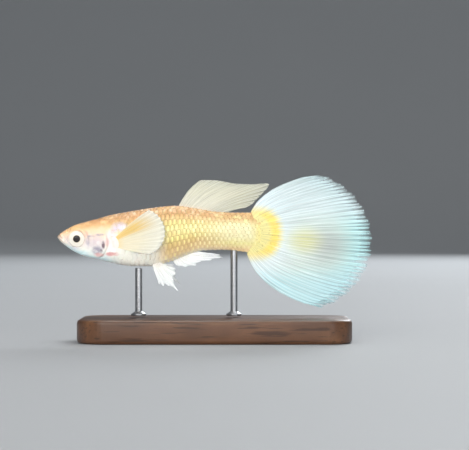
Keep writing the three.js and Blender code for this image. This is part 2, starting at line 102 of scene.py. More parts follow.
def curveThrough(knots):  # smooth through every knot, with no bump of its own between them
    at = np.array([knot[0] for knot in knots], float)
    value = np.array([knot[1] for knot in knots], float)
    rise = np.diff(value) / np.diff(at)
    slope = np.zeros(len(at))
    slope[0], slope[-1] = rise[0], rise[-1]
    same = rise[:-1] * rise[1:] > 0
    safe = np.where(same, rise[:-1] + rise[1:], 1)
    slope[1:-1] = np.where(same, 2 * rise[:-1] * rise[1:] / safe, 0)

    def read(place):
        x = np.clip(place, at[0], at[-1])
        i = np.clip(np.searchsorted(at, x, side="right") - 1, 0, len(at) - 2)
        width = at[i + 1] - at[i]
        t = (x - at[i]) / width
        start = (1 + 2 * t) * (1 - t) ** 2 * value[i] + t * (1 - t) ** 2 * width * slope[i]
        return start + t * t * (3 - 2 * t) * value[i + 1] + t * t * (t - 1) * width * slope[i + 1]

    return read


def routeThrough(points):  # a plane curve through the points, read by its share of the length
    p = np.array(points, float)
    p = np.vstack([2 * p[0] - p[1], p, 2 * p[-1] - p[-2]])
    out = []
    for i in range(1, len(p) - 2):
        a, b, c, d = p[i - 1:i + 3]
        steps = ((b, a), (c, b), (d, c))
        t0, t1, t2 = (max(np.linalg.norm(q - r), 1e-6) ** 0.5 for q, r in steps)
        m1 = ((b - a) / t0 - (c - a) / (t0 + t1) + (c - b) / t1) * t1
        m2 = ((c - b) / t1 - (d - b) / (t1 + t2) + (d - c) / t2) * t1
        t = np.linspace(0, 1, 40, endpoint=False)[:, None]
        square, cube = 3 * (c - b) - 2 * m1 - m2, 2 * (b - c) + m1 + m2
        out.append(b + m1 * t + square * t ** 2 + cube * t ** 3)
    line = np.vstack(out + [p[-2:-1]])
    run = np.concatenate([[0], np.cumsum(np.linalg.norm(np.diff(line, axis=0), axis=1))])

    def read(share):
        at = np.clip(share, 0, 1) * run[-1]
        return np.interp(at, run, line[:, 0]), np.interp(at, run, line[:, 1])

    return read


# The shape of the body, the same as in the frame
bodyShape = {
    "back": [(0, .28), (1.3, 1.16), (3, 2.05), (5.5, 2.76), (9, 3.78), (12.3, 4.42), (15.7, 4.97),
             (20, 5.4), (23.4, 4.98), (26.8, 4.42), (30.2, 4.24), (35.2, 4.3)],
    "belly": [(0, -.35), (1.3, -1.42), (3, -2.55), (4.7, -3.32), (7.2, -3.84), (10.6, -4.78),
              (13, -5.07), (15.7, -5.08), (19.1, -4.3), (22.5, -2.95), (24.5, -2.38), (28, -2.26),
              (32, -2.62), (35.2, -3.0)],
    "widest": [(0, 0), (3, .05), (8, -.35), (14, -.7), (20, .1), (26, .85), (35.2, .85)],
    "halfWidth": [(0, .85), (1.3, 1.42), (3, 2.0), (5.5, 2.42), (8.5, 2.68), (12.5, 2.8), (16, 2.66),
                  (20, 2.15), (24, 1.62), (28, 1.28), (32, 1.0), (35.2, .7)],
    "squareAbove": [(0, 2.2), (4, 2.5), (9, 2.3), (16, 2.0), (22, 1.8), (35.2, 1.9)],
    "squareBelow": [(0, 2.1), (5, 1.9), (12, 2.1), (19, 1.8), (26, 1.8), (35.2, 1.9)],
    "noseLength": 0.75,
    "stalkRounding": 2.9,
    "stalkPower": 2.6,
}
body = {name: curveThrough(knots) for name, knots in bodyShape.items() if isinstance(knots, list)}


def closing(s):
    nose = np.clip(s / bodyShape["noseLength"], 0, 1)
    tail = np.clip((fish["bodyLength"] - s) / bodyShape["stalkRounding"], 0, 1)
    power = bodyShape["stalkPower"]
    return np.sqrt(1 - (1 - nose) ** 2) * (1 - (1 - tail) ** power) ** (1 / power)


# The angle runs from the back, 0, down the left side, where y is below 0
def bodyPoint(s, angle, grow=0):
    across, up = np.sin(angle), np.cos(angle)
    above = up >= 0
    share = closing(s)
    square = 2 / np.where(above, body["squareAbove"](s), body["squareBelow"](s))
    middle = body["widest"](s)
    reach = np.where(above, body["back"](s) - middle, middle - body["belly"](s))
    y = -(body["halfWidth"](s) * share + grow) * np.sign(across) * np.abs(across) ** square
    h = middle + (reach * share + grow) * np.sign(up) * np.abs(up) ** square
    return y, h


def sectionSpan(s):  # how full a section is near the snout and the tail's end, its top and its bottom
    share, middle = closing(s), body["widest"](s)
    top = middle + (body["back"](s) - middle) * share
    return share, top, middle - (middle - body["belly"](s)) * share


# Share of the way round half of a section, 0 on the back and 1 on the belly, against the angle
girthSteps = {"s": np.linspace(0.05, 35.1, 200), "angle": np.linspace(0, math.pi, 121)}


def girthTable():
    ys, hs = bodyPoint(girthSteps["s"][:, None], girthSteps["angle"][None, :])
    run = np.cumsum(np.hypot(np.diff(ys, axis=1), np.diff(hs, axis=1)), axis=1)
    run = np.hstack([np.zeros((len(run), 1)), run])
    return run / run[:, -1:]


girthShare = girthTable()
shareSteps = np.linspace(0, 1, 101)
angleAtShare = np.array([np.interp(shareSteps, row, girthSteps["angle"]) for row in girthShare])


def readTable(table, s, column, columns):  # a table by s and by evenly spaced columns
    i = np.clip(np.interp(s, girthSteps["s"], np.arange(len(table))), 0, len(table) - 1.001)
    j = np.clip(column * (columns - 1), 0, columns - 1.001)
    i0, j0 = i.astype(int), j.astype(int)
    a, b = i - i0, j - j0
    low = table[i0, j0] * (1 - b) + table[i0, j0 + 1] * b
    high = table[i0 + 1, j0] * (1 - b) + table[i0 + 1, j0 + 1] * b
    return low * (1 - a) + high * a


def angleOf(s, share):
    return readTable(angleAtShare, s, share, len(shareSteps))


def shareOf(s, angle):
    return readTable(girthShare, s, angle / math.pi, len(girthSteps["angle"]))


def clearSelection():
    if bpy.context.mode != "OBJECT":
        bpy.ops.object.mode_set(mode="OBJECT")
    bpy.ops.object.select_all(action="DESELECT")


def selectOnly(piece):
    clearSelection()
    piece.select_set(True)
    bpy.context.view_layer.objects.active = piece


def editParts(kind, action="DESELECT"):
    bpy.ops.object.mode_set(mode="EDIT")
    bpy.ops.mesh.select_mode(type=kind)
    bpy.ops.mesh.select_all(action=action)


def applyPlace(piece):
    selectOnly(piece)
    bpy.ops.object.transform_apply(location=True, rotation=True, scale=True)


def applyModifier(piece, kind, **settings):
    modifier = piece.modifiers.new(kind.lower(), kind)
    for name, value in settings.items():
        setattr(modifier, name, value)
    bpy.ops.object.modifier_apply(modifier=modifier.name)


def finishPiece(piece, name, material, slot, *replaced):
    piece.name = name
    piece.data.name = name
    piece.data.materials.clear()
    piece.data.materials.append(material)
    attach(piece, fish["bodyName"])
    if replaced:
        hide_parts(*replaced)
    clearSelection()
    return piece


def smoothShade(piece):
    piece.data.polygons.foreach_set("use_smooth", [True] * len(piece.data.polygons))
    piece.data.update()


def cornerVertices(mesh):
    return readAll(mesh.loops, "vertex_index", kind=np.int64)


def cornerMap(mesh, name, across, up):  # a UV map from one place for each face corner
    layer = mesh.uv_layers.new(name=name)
    layer.data.foreach_set("uv", np.stack([across, up], axis=-1).astype(float).ravel())


def pointValue(mesh, name, values):
    layer = mesh.attributes.new(name, "FLOAT", "POINT")
    layer.data.foreach_set("value", np.ascontiguousarray(values, np.float64))


# Small helpers for materials
def colour(red, green, blue):  # from screen values, 0 to 255
    def straight(value):
        share = value / 255
        return share / 12.92 if share <= 0.04045 else ((share + 0.055) / 1.055) ** 2.4

    return (straight(red), straight(green), straight(blue), 1)


def shadeOf(value):  # from screen values, the name of a shade, a share of white or a ready colour
    if isinstance(value, float):
        return (value, value, value, 1)
    if isinstance(value, str):
        value = shades[value]
    return colour(*value) if len(value) == 3 else value


class Shader:
    def __init__(self, name):
        self.material = bpy.data.materials.new(name)
        self.material.use_nodes = True
        self.tree = self.material.node_tree
        self.surface = self.tree.nodes["Principled BSDF"]

    def plug(self, socket, value):
        if isinstance(value, bpy.types.NodeSocket):
            self.tree.links.new(value, socket)
        else:
            socket.default_value = shadeOf(value) if socket.type == "RGBA" else value

    def node(self, kind, inputs=None, **settings):
        made = self.tree.nodes.new(kind)
        for name, value in settings.items():
            setattr(made, name, value)
        for name, value in (inputs or {}).items():
            self.plug(made.inputs[name], value)
        return made

    def math(self, operation, first, second=0.0, third=0.0, clamp=False):
        made = self.node("ShaderNodeMath", {0: first, 1: second, 2: third}, operation=operation,
                         use_clamp=clamp)
        return made.outputs[0]

    def times(self, first, *others):
        for other in others:
            first = self.math("MULTIPLY", first, other)
        return first

    def off(self, value, middle):  # how far one value is from another
        return self.math("ABSOLUTE", self.math("SUBTRACT", value, middle))

    def mix(self, share, first, second):
        return self.node("ShaderNodeMix", {0: share, 6: first, 7: second}, data_type="RGBA").outputs[2]

    def fade(self, value, low, high, start=0.0, end=1.0):
        made = self.node("ShaderNodeMapRange", {0: value, 1: low, 2: high, 3: start, 4: end},
                         interpolation_type="SMOOTHSTEP")
        return made.outputs[0]

    def ramp(self, share, stops):  # each stop has a place and a shade
        made = self.node("ShaderNodeValToRGB", {0: share})
        band = made.color_ramp
        while len(band.elements) < len(stops):
            band.elements.new(0.5)
        for element, (place, shade) in zip(band.elements, stops):
            element.position = place
            element.color = shadeOf(shade)
        return made.outputs[0]

    def noise(self, scale, detail=2.0, roughness=0.5, vector=None, stretch=None):
        if vector is None:
            vector = self.node("ShaderNodeTexCoord").outputs["Object"]
        if stretch:
            vector = self.node("ShaderNodeMapping", {"Vector": vector, "Scale": stretch}).outputs[0]
        made = self.node("ShaderNodeTexNoise", {"Vector": vector, "Scale": scale, "Detail": detail,
                                                "Roughness": roughness})
        return made.outputs[0]

    def streaks(self, across, along=0.0, detail=3.0, roughness=0.6):  # noise on a map's own places
        place = self.node("ShaderNodeCombineXYZ", {0: across, 1: along}).outputs[0]
        return self.noise(1.0, detail, roughness, place)

    def value(self, name):
        return self.node("ShaderNodeAttribute", attribute_name=name).outputs["Fac"]

    def mapPlace(self, name):
        uv = self.node("ShaderNodeUVMap", uv_map=name).outputs[0]
        parts = self.node("ShaderNodeSeparateXYZ", {0: uv})
        return parts.outputs[0], parts.outputs[1]

    def fishPlace(self):  # s and h in millimetres, from Object coordinates
        parts = self.node("ShaderNodeSeparateXYZ", {0: self.node("ShaderNodeTexCoord").outputs["Object"]})
        s = self.math("MULTIPLY_ADD", parts.outputs[0], 1 / mm, fish["totalLength"] / 2)
        h = self.math("MULTIPLY_ADD", parts.outputs[2], 1 / mm, -fish["snoutHeight"])
        return s, h

    def spot(self, place, centre, reach, soft):  # 1 inside an oval patch, fading out at its edge
        across, up = (self.math("DIVIDE", self.math("SUBTRACT", place[i], centre[i]), reach[i])
                      for i in (0, 1))
        square = self.math("ADD", self.times(across, across), self.times(up, up))
        return self.fade(self.math("SQRT", square), 1.0, soft)

    def bump(self, height, distance, strength):
        made = self.node("ShaderNodeBump", {"Height": height, "Distance": distance, "Strength": strength})
        return made.outputs[0]

    def set(self, **inputs):
        names = {"base": "Base Color", "coat": "Coat Weight", "coatRoughness": "Coat Roughness",
                 "subsurface": "Subsurface Weight", "subsurfaceScale": "Subsurface Scale",
                 "subsurfaceRadius": "Subsurface Radius", "specular": "Specular IOR Level"}
        for name, value in inputs.items():
            self.plug(self.surface.inputs[names.get(name, name.capitalize())], value)


print("guppy: helpers ready")

# Camera, at the photograph's angle: level, square to the fish's left side
cameraSetup = {
    "millimetresPerPixel": 0.17,
    "imageWidth": 469,
    "snoutPixel": 57.5,
    "snoutLevelPixel": 237,
    "imageCentre": (234.5, 225),
    "distance": 0.35,
    "sensor": 36,
}


def makeCamera():
    c = cameraSetup
    fieldWidth = c["imageWidth"] * c["millimetresPerPixel"] * mm
    s = (c["imageCentre"][0] - c["snoutPixel"]) * c["millimetresPerPixel"]
    h = (c["snoutLevelPixel"] - c["imageCentre"][1]) * c["millimetresPerPixel"]
    aim = toRow(s, 0, h)
    place = aim + Vector((0, -c["distance"], 0))
    bpy.ops.object.camera_add(location=place, rotation=(math.pi / 2, 0, 0))
    camera = bpy.context.object
    camera.name = "photoCamera"
    camera.data.sensor_width = c["sensor"]
    camera.data.lens = c["sensor"] * c["distance"] / fieldWidth
    camera.data.clip_start = 0.01
    camera.data.clip_end = 20
    bpy.context.scene.camera = camera
    clearSelection()


studio = {
    "floorRadius": 1.1,
    "coveRadius": 0.7,
    "coveSteps": 9,
    "wallHeight": 1.6,
    "floorShade": (176, 178, 180),
    "floorCloud": 0.94,  # how dark the floor's faint clouds are, against its shade
    "backgroundShade": (146, 150, 154),
    "backgroundStrength": 1.0,
    # name, place, size, power in watts, spread in degrees, whether shiny parts mirror it, tint
    "lights": [
        ("keyLight", (-0.22, -0.85, 0.45), 0.50, 3.6, 180, True, (1.0, 0.985, 0.96)),
        ("fillLight", (0.50, -0.85, 0.14), 0.60, 2.2, 180, True, (0.95, 0.98, 1.0)),
        ("lowLight", (-0.05, -0.70, 0.065), 0.11, 0.078, 28, False, (1.0, 0.985, 0.96)),
        ("topLight", (0.05, 0.10, 0.90), 0.50, 3.6, 180, True, (1.0, 1.0, 1.0)),
        ("rimLight", (0.30, 0.80, 0.45), 0.40, 4.6, 180, True, (0.93, 0.97, 1.0)),
    ],
}


def growCove(move, share):
    bpy.ops.mesh.extrude_edges_move(TRANSFORM_OT_translate={"value": move})
    bpy.ops.transform.resize(value=(share, share, 1), center_override=(0, 0, 0))


def makeStudio():
    bpy.ops.mesh.primitive_circle_add(vertices=96, radius=studio["floorRadius"], fill_type="NGON")
    floor = bpy.context.object
    floor.name = "studioFloor"
    editParts("EDGE")
    bpy.ops.mesh.select_non_manifold(extend=False, use_wire=False, use_boundary=True,
                                     use_multi_face=False, use_non_contiguous=False, use_verts=False)
    outward, upward = studio["floorRadius"], 0.0
    for step in range(1, studio["coveSteps"] + 1):  # the floor turns up into a round wall
        turn = math.pi / 2 * step / studio["coveSteps"]
        nextOut = studio["floorRadius"] + studio["coveRadius"] * math.sin(turn)
        nextUp = studio["coveRadius"] * (1 - math.cos(turn))
        growCove((0, 0, nextUp - upward), nextOut / outward)
        outward, upward = nextOut, nextUp
    growCove((0, 0, studio["wallHeight"] - upward), 1)
    bpy.ops.object.mode_set(mode="OBJECT")
    smoothShade(floor)
    shader = Shader("paleFloor")
    darker = tuple(v * studio["floorCloud"] for v in shadeOf(studio["floorShade"])[:3]) + (1,)
    shader.set(base=shader.mix(shader.noise(6.0, 3.0), darker, studio["floorShade"]), roughness=0.7,
               specular=0.2)
    floor.data.materials.append(shader.material)
    world = bpy.data.worlds.new("studioWorld")
    bpy.context.scene.world = world
    world.use_nodes = True
    ground = world.node_tree.nodes["Background"]
    ground.inputs["Color"].default_value = shadeOf(studio["backgroundShade"])
    ground.inputs["Strength"].default_value = studio["backgroundStrength"]
    aim = toRow(fish["totalLength"] / 2, 0, 0)
    for name, place, size, power, spread, mirrored, tint in studio["lights"]:
        bpy.ops.object.light_add(type="AREA", location=place)
        light = bpy.context.object
        light.name = name
        light.data.size = size
        light.data.energy = power
        light.data.color = tint
        light.data.spread = math.radians(spread)
        light.visible_camera = False
        light.visible_glossy = mirrored
        light.rotation_euler = (aim - Vector(place)).to_track_quat("-Z", "Y").to_euler()
    bpy.context.scene.view_settings.view_transform = "Standard"
    clearSelection()


makeCamera()
makeStudio()
print("guppy: camera, floor and lights")

# Skin: one closed skin for head, jaw, gill covers, trunk and tail stalk
skinSetup = {
    "around": 32,
    "cuts": 3,  # cuts in each edge once the rings are drawn out
    "firstRings": (0.02, 0.06, 0.14),
    "headRings": ((2.4, 0.2), (9.6, 0.42)),  # up to this s, distance between rings
    "trunkRings": 0.95,
    "endRings": (3, 0.3, 0.05),  # from this far before the end, share of what is left, least distance
    "coatDepth": 0.10,  # the scales' depth, which the skin lies below
    "coatStart": 9.0,
    "napeReach": 2.6,  # how much further forward the scales start on the nape
    "throatStrip": 0.9,
    "throatGroove": 0.07,
}
eyeShape = {"s": 3.42, "h": -0.3, "radius": 1.42, "y": 1.36, "depth": 0.88, "pupil": 0.6,
            "socket": 0.6, "rim": 0.06, "groove": 0.025}
mouthShape = {"s": 0.32, "h": 0.46, "slope": 54, "reach": 1.55, "cleft": 0.2, "lip": 0.06,
              "corner": 0.07, "jawGroove": 0.05}
coverShape = {"s": 5.85, "h": -1.02, "radius": 2.85, "cheekS": 3.1, "cheekH": -0.75, "cheekRadius": 2.3,
              "rise": 0.13, "slit": 0.15, "swell": 0.03, "cheekGroove": 0.09, "plateGroove": 0.05,
              "folds": 4, "foldStep": 0.22, "foldDepth": 0.03}
nostrilShape = {"s": 1.75, "h": 0.95, "step": (0.5, 0.36), "radius": 0.14, "pit": 0.16, "rim": 0.05}
pectoralBase = {"s": 10.0, "h": -1.05, "reach": (0.55, 1.1), "rise": 0.32}


def skinStations():
    stations = list(skinSetup["firstRings"])
    endLength, share, least = skinSetup["endRings"]
    while stations[-1] < fish["bodyLength"] - 0.05:
        s = stations[-1]
        left = fish["bodyLength"] - s
        step = skinSetup["trunkRings"] if left > endLength else max(left * share, least)
        stations.append(s + next((near for until, near in skinSetup["headRings"] if s < until), step))
    return [s for s in stations if s < fish["bodyLength"] - 0.01]


def ringSize(s):
    share, top, bottom = (float(value) for value in sectionSpan(s))
    return float(body["halfWidth"](s)) * share, (top - bottom) / 2, (top + bottom) / 2


def drawSkinRings():
    stations = skinStations()
    width, height, middle = ringSize(stations[0])
    bpy.ops.mesh.primitive_circle_add(vertices=skinSetup["around"], radius=mm, fill_type="NGON",
                                      location=toRow(stations[0], 0, middle), rotation=(0, math.pi / 2, 0))
    piece = bpy.context.object
    piece.scale = (height, width, 1)
    applyPlace(piece)
    editParts("EDGE", "SELECT")
    for before, after in zip(stations, stations[1:]):
        newWidth, newHeight, newMiddle = ringSize(after)
        move = toRow(after, 0, newMiddle) - toRow(before, 0, middle)
        bpy.ops.mesh.extrude_region_move(TRANSFORM_OT_translate={"value": move})
        bpy.ops.transform.resize(value=(1, newWidth / width, newHeight / height),
                                 center_override=toRow(after, 0, newMiddle))
        width, height, middle = newWidth, newHeight, newMiddle
    bpy.ops.mesh.select_all(action="SELECT")
    bpy.ops.mesh.remove_doubles(threshold=1e-8)
    bpy.ops.mesh.subdivide(number_cuts=skinSetup["cuts"])
    bpy.ops.mesh.select_all(action="SELECT")
    bpy.ops.mesh.normals_make_consistent(inside=False)
    bpy.ops.object.mode_set(mode="OBJECT")
    return piece


def settleOnBody(mesh):  # every vertex goes from its ring's oval to the body's true section
    s, y, h = fishPlaces(mesh)
    s = np.clip(s, 0.004, fish["bodyLength"] - 0.004)
    share, top, bottom = sectionSpan(s)
    up = (h - (top + bottom) / 2) / ((top - bottom) / 2)
    angle = np.arctan2(-y / (body["halfWidth"](s) * share), up)
    newY, newH = bodyPoint(s, angle)
    setPlaces(mesh, s, newY, newH)
    return s, np.abs(angle)


def coatEdge(girth):  # where the scales start
    return skinSetup["coatStart"] - skinSetup["napeReach"] * (1 - ease(girth, 0.1, 0.32))


# The carvings give how far each place moves out of the smooth body
def carveCover(s, y, h):
    c = coverShape
    behind = c["radius"] - np.hypot(s - c["s"], h - c["h"])  # how far inside the cover's outline
    ahead = np.hypot(s - c["cheekS"], h - c["cheekH"]) - c["cheekRadius"]  # how far behind the cheek
    side = ease(np.abs(y), skinSetup["throatStrip"] - 0.12, skinSetup["throatStrip"] + 0.12)
    rear = side * ease(ahead, -0.1, 0.4) * (1 - 0.8 * ease(h, -0.6, 0.9))
    rise = rear * c["rise"] * ease(behind, 0.0, 0.16) * (1 - 0.75 * ease(behind, 0.2, 1.3))
    rise -= rear * c["slit"] * bump(behind + 0.12, 0.1)
    rise += side * c["swell"] * ease(np.minimum(behind, ahead), 0.0, 0.3)
    rise -= side * ease(behind, 0.1, 0.5) * c["cheekGroove"] * bump(ahead + 0.02, 0.12)
    rise -= side * ease(behind, 0.1, 0.6) * c["plateGroove"] * bump(ahead - 0.85, 0.14)
    under = ease(-h, 2.0, 2.6) * between(s, 3.4, 4.2, 7.2, 8.0)
    for fold in range(c["folds"]):  # the gill membrane under the cover
        away = np.hypot(s - c["s"] + 0.3, h - c["h"] - 0.2) - 2.5 + c["foldStep"] * fold
        rise -= c["foldDepth"] * under * bump(away, 0.06)
    return rise


def carveSocket(s, h):
    away = np.hypot(s - eyeShape["s"], h - eyeShape["h"]) - eyeShape["radius"]
    rise = eyeShape["rim"] * bump(away - 0.12, 0.12) - eyeShape["groove"] * bump(away - 0.45, 0.14)
    return rise - eyeShape["socket"] * (1 - ease(away, -0.14, -0.01))


def carveMouth(s, h):
    c = mouthShape
    slope = math.radians(c["slope"])
    along = (s - c["s"]) * math.cos(slope) - (h - c["h"]) * math.sin(slope)
    across = (s - c["s"]) * math.sin(slope) + (h - c["h"]) * math.cos(slope)
    parted = between(along, -0.8, -0.5, c["reach"] - 0.25, c["reach"] + 0.05)
    rise = parted * (c["lip"] * bump(np.abs(across) - 0.15, 0.08) - c["cleft"] * bump(across, 0.055))
    rise -= c["corner"] * bump(np.hypot(along - c["reach"] - 0.12, across - 0.05), 0.16)
    return rise - c["jawGroove"] * bump(across - 0.48, 0.08) * between(along, 0.3, 0.7, 1.9, 2.2)


def carveNostrils(s, h):
    c = nostrilShape
    rise = 0
    for step in (0, 1):
        away = np.hypot(s - c["s"] - step * c["step"][0], h - c["h"] - step * c["step"][1])
        rise += c["rim"] * bump(away - 0.24, 0.07) - c["pit"] * bump(away, c["radius"])
    return rise


def carveHead(s, y, h, girth):
    c = pectoralBase
    away = np.hypot((s - c["s"]) / c["reach"][0], (h - c["h"]) / c["reach"][1])
    finBase = c["rise"] * (1 - ease(away, 0.2, 1.1))
    onSide = ease(np.abs(y), 0.5, 0.9)
    coat = ease(s, coatEdge(girth) - 0.25, coatEdge(girth) + 0.25)  # 0 on the bare head and throat
    throat = bump(y, 0.1) * ease(-h, 2.6, 3.0) * between(s, 3.0, 4.0, 8.0, 9.0)
    rise = onSide * (carveSocket(s, h) + carveNostrils(s, h) + finBase)
    rise += carveCover(s, y, h) + carveMouth(s, h)
    return rise - skinSetup["coatDepth"] * coat - skinSetup["throatGroove"] * throat


def bodyMaps(mesh, s, girth):  # the pattern's map and the unwrap that the scales' patches are set on
    corners = cornerVertices(mesh)
    middles = readAll(mesh.polygons, "center", 3)
    counts = readAll(mesh.polygons, "loop_total", kind=np.int64)
    side = np.repeat(np.where(middles[:, 1] < 0, -1, 1), counts)
    along = s[corners] / fish["bodyLength"]
    cornerMap(mesh, "OFBake", along, 0.5 + 0.5 * side * girth[corners])
    cornerMap(mesh, "bodyMap", along, girth[corners])


# The fish's colours by place on its side, with painted shade and painted highlights among them
shades = {
    "back": (228, 184, 136), "backLight": (238, 208, 168), "gold": (218, 199, 116),
    "paleGold": (230, 220, 146), "tan": (216, 178, 118), "rearBelly": (236, 206, 156),
    "white": (250, 248, 236), "pearl": (253, 252, 246), "stalk": (232, 225, 176),
    "stalkEdge": (238, 208, 156), "yellow": (236, 222, 138), "deepYellow": (248, 220, 98),
    "cheek": (236, 218, 212), "violet": (212, 198, 218), "rose": (228, 160, 154), "red": (212, 98, 94),
    "slate": (132, 124, 150), "cyan": (218, 249, 254), "forehead": (238, 188, 124),
    # slit: a dark maroon shade, painted shade inside the gill opening
    "snout": (244, 208, 172), "slit": (104, 74, 88), "nape": (204, 142, 80), "cheekGrey": (200, 186, 194),
    # the scale rim shade: the scales' dark rims, their own pigment with painted shade
    "lilacWhite": (232, 222, 230), "freckle": (176, 146, 70), "scaleEdge": (184, 160, 90),
    # the two glint shades: painted highlights on the scales
    "dullScale": (208, 174, 106), "flankGlint": (253, 246, 158), "stalkGlint": (254, 252, 212),
}
girthBands = {  # shades by the share of the way from the back to the belly
    "trunk": [(0.0, "back"), (0.12, "backLight"), (0.2, "back"), (0.34, "gold"), (0.46, "paleGold"),
              (0.58, "gold"), (0.70, "tan"), (0.86, "rearBelly"), (1.0, "white")],
    "stalk": [(0.0, "stalkEdge"), (0.2, "paleGold"), (0.38, "stalk"), (0.62, "stalk"),
              (0.78, "paleGold"), (0.92, "stalkEdge"), (1.0, "rearBelly")],
    "head": [(0.0, "back"), (0.1, "forehead"), (0.26, "forehead"), (0.40, "snout"), (0.55, "cheek"),
             (0.72, "pearl"), (0.92, "cyan"), (1.0, "pearl")],
}
# name, centre and reach on the side of the fish, share
headPatches = [
    ("cheekGrey", (6.3, -0.9), (2.2, 2.1), 0.5),
    ("lilacWhite", (9.5, 0.3), (1.6, 1.7), 0.75),
    ("slate", (7.4, 0.4), (1.0, 0.3), 0.7),
    ("slate", (5.9, 0.15), (0.9, 0.26), 0.6),
    ("slate", (6.9, -2.25), (1.25, 1.0), 0.8),
    ("slate", (5.3, -0.6), (0.45, 1.2), 0.4),
    ("violet", (10.7, 1.65), (1.9, 1.2), 0.9),
    ("lilacWhite", (11.2, 1.6), (0.9, 0.6), 0.7),
    ("rose", (9.5, 1.0), (0.5, 0.7), 0.3),
    ("rose", (7.2, -3.0), (1.2, 0.55), 0.75),
    ("rose", (8.6, -0.9), (0.5, 1.0), 0.5),
    ("red", (9.1, -2.85), (1.15, 0.5), 0.7),
    ("rose", (10.1, -2.9), (0.7, 0.45), 0.55),
    # painted shade: the dark of the gill opening, laid on in two slit patches
    ("slit", (7.95, -1.35), (0.4, 0.95), 1.0),
    ("slit", (7.6, -2.35), (0.36, 0.5), 0.7),
    ("pearl", (9.6, -2.2), (0.75, 0.5), 0.9),
    ("pearl", (7.1, -0.95), (0.5, 0.45), 0.4),
    ("rose", (5.0, 0.55), (0.45, 0.8), 0.5),
    ("cyan", (3.4, -2.75), (2.2, 0.55), 0.9),
]


def freckles(shader):  # dark specks, finer than a scale
    place = shader.node("ShaderNodeTexCoord").outputs["Object"]
    dots = shader.node("ShaderNodeTexVoronoi", {"Vector": place, "Scale": 1900.0, "Randomness": 1.0})
    return shader.fade(dots.outputs[0], 0.30, 0.14)


def fishColour(shader):  # the same markings on skin and scales, with the gill opening's painted shade
    place = shader.fishPlace()
    s = place[0]
    cloud = shader.noise(900.0, 3.0)
    fine = shader.noise(2600.0, 2.0)
    wander = shader.times(shader.math("SUBTRACT", cloud, 0.5), 0.10)
    girth = shader.math("ADD", shader.mapPlace("bodyMap")[1], wander)
    trunk, stalk, head = (shader.ramp(girth, girthBands[part]) for part in ("trunk", "stalk", "head"))
    base = shader.mix(shader.fade(s, 22.5, 31.0), trunk, stalk)
    base = shader.mix(shader.fade(s, 32.6, 34.6), base, "yellow")
    belly = shader.times(shader.fade(s, 19.5, 15.5), shader.fade(girth, 0.40, 0.58))
    base = shader.mix(belly, base, "white")
    base = shader.mix(shader.fade(s, 11.5, 7.6), base, head)
    base = shader.mix(shader.times(shader.fade(s, 2.2, 0.4), 0.55), base, "snout")
    mottle = shader.times(shader.fade(cloud, 0.38, 0.58), shader.fade(girth, 0.36, 0.18),
                          shader.fade(s, 3.0, 5.5), 0.8)
    base = shader.mix(mottle, base, "nape")
    cloudy = shader.fade(shader.noise(1300.0, 3.0), 0.34, 0.56, 0.5, 1.0)
    for name, centre, reach, share in headPatches:
        base = shader.mix(shader.times(shader.spot(place, centre, reach, 0.35), cloudy, share), base, name)
    base = shader.mix(shader.times(fine, 0.12), base, "pearl")
    speckled = shader.times(freckles(shader), shader.fade(s, 25.0, 31.5), 0.5)
    return shader.mix(speckled, base, "freckle"), cloud, fine


def skinMaterial():
    shader = Shader("moistSkin")
    base, cloud, fine = fishColour(shader)
    shader.set(base=base, roughness=shader.fade(cloud, 0.3, 0.7, 0.32, 0.46), coat=0.35, coatRoughness=0.2,
               normal=shader.bump(fine, 0.00004, 0.5), subsurface=0.1, subsurfaceScale=0.0008,
               subsurfaceRadius=(1.0, 0.55, 0.35))
    return shader.material


def makeSkin():
    piece = drawSkinRings()
    mesh = piece.data
    s, angle = settleOnBody(mesh)
    girth = shareOf(s, angle)
    normals = vertexRows(mesh, "normal")
    _, y, h = fishPlaces(mesh)
    rise = carveHead(s, y, h, girth)
    newS = np.clip(s + normals[:, 0] * rise, 0.0, fish["bodyLength"])
    setPlaces(mesh, newS, y + normals[:, 1] * rise, h + normals[:, 2] * rise)
    bodyMaps(mesh, s, girth)
    smoothShade(piece)
    flesh = ("head", "lower_jaw", "gill_cover_left", "gill_cover_right", "trunk", "tail_stalk")
    return finishPiece(piece, "guppySkin", skinMaterial(), "skin", *flesh)


makeSkin()
print("guppy: skin")

# Eyes: a white ball with a silver iris, a black pupil that bulges out of it and a wet coat
eyeSetup = {
    "segments": 64,
    "rings": 48,
    "pupilRise": 0.08,
    "crown": 0.16,  # how much lower the iris is at its rim, as a share of the ball's depth
    "brim": 0.93,  # where the ball turns over into the socket
    "iris": (231, 226, 214), "irisStreak": (202, 198, 188), "innerRing": (232, 214, 180),
    "irisRimAndShade": (222, 204, 190), "pupil": (34, 27, 25),
}


def eyeMaterial():
    c = eyeSetup
    shader = Shader("wetEye")
    away, turn = shader.mapPlace("irisMap")
    streak = shader.streaks(shader.times(turn, 60.0), shader.times(away, 4.0))
    iris = shader.mix(shader.times(streak, 0.22), c["iris"], c["irisStreak"])
    iris = shader.mix(shader.fade(away, 0.50, 0.43), iris, c["innerRing"])
    # the iris's warm rim, darkened towards the socket as painted shade
    iris = shader.mix(shader.fade(away, 0.86, 0.99), iris, c["irisRimAndShade"])
    edge = eyeShape["pupil"] / eyeShape["radius"]
    shader.set(base=shader.mix(shader.fade(away, edge + 0.03, edge - 0.02), iris, c["pupil"]),
               roughness=0.28, coat=0.35, coatRoughness=0.1, normal=shader.bump(streak, 0.00002, 0.4))
    return shader.material


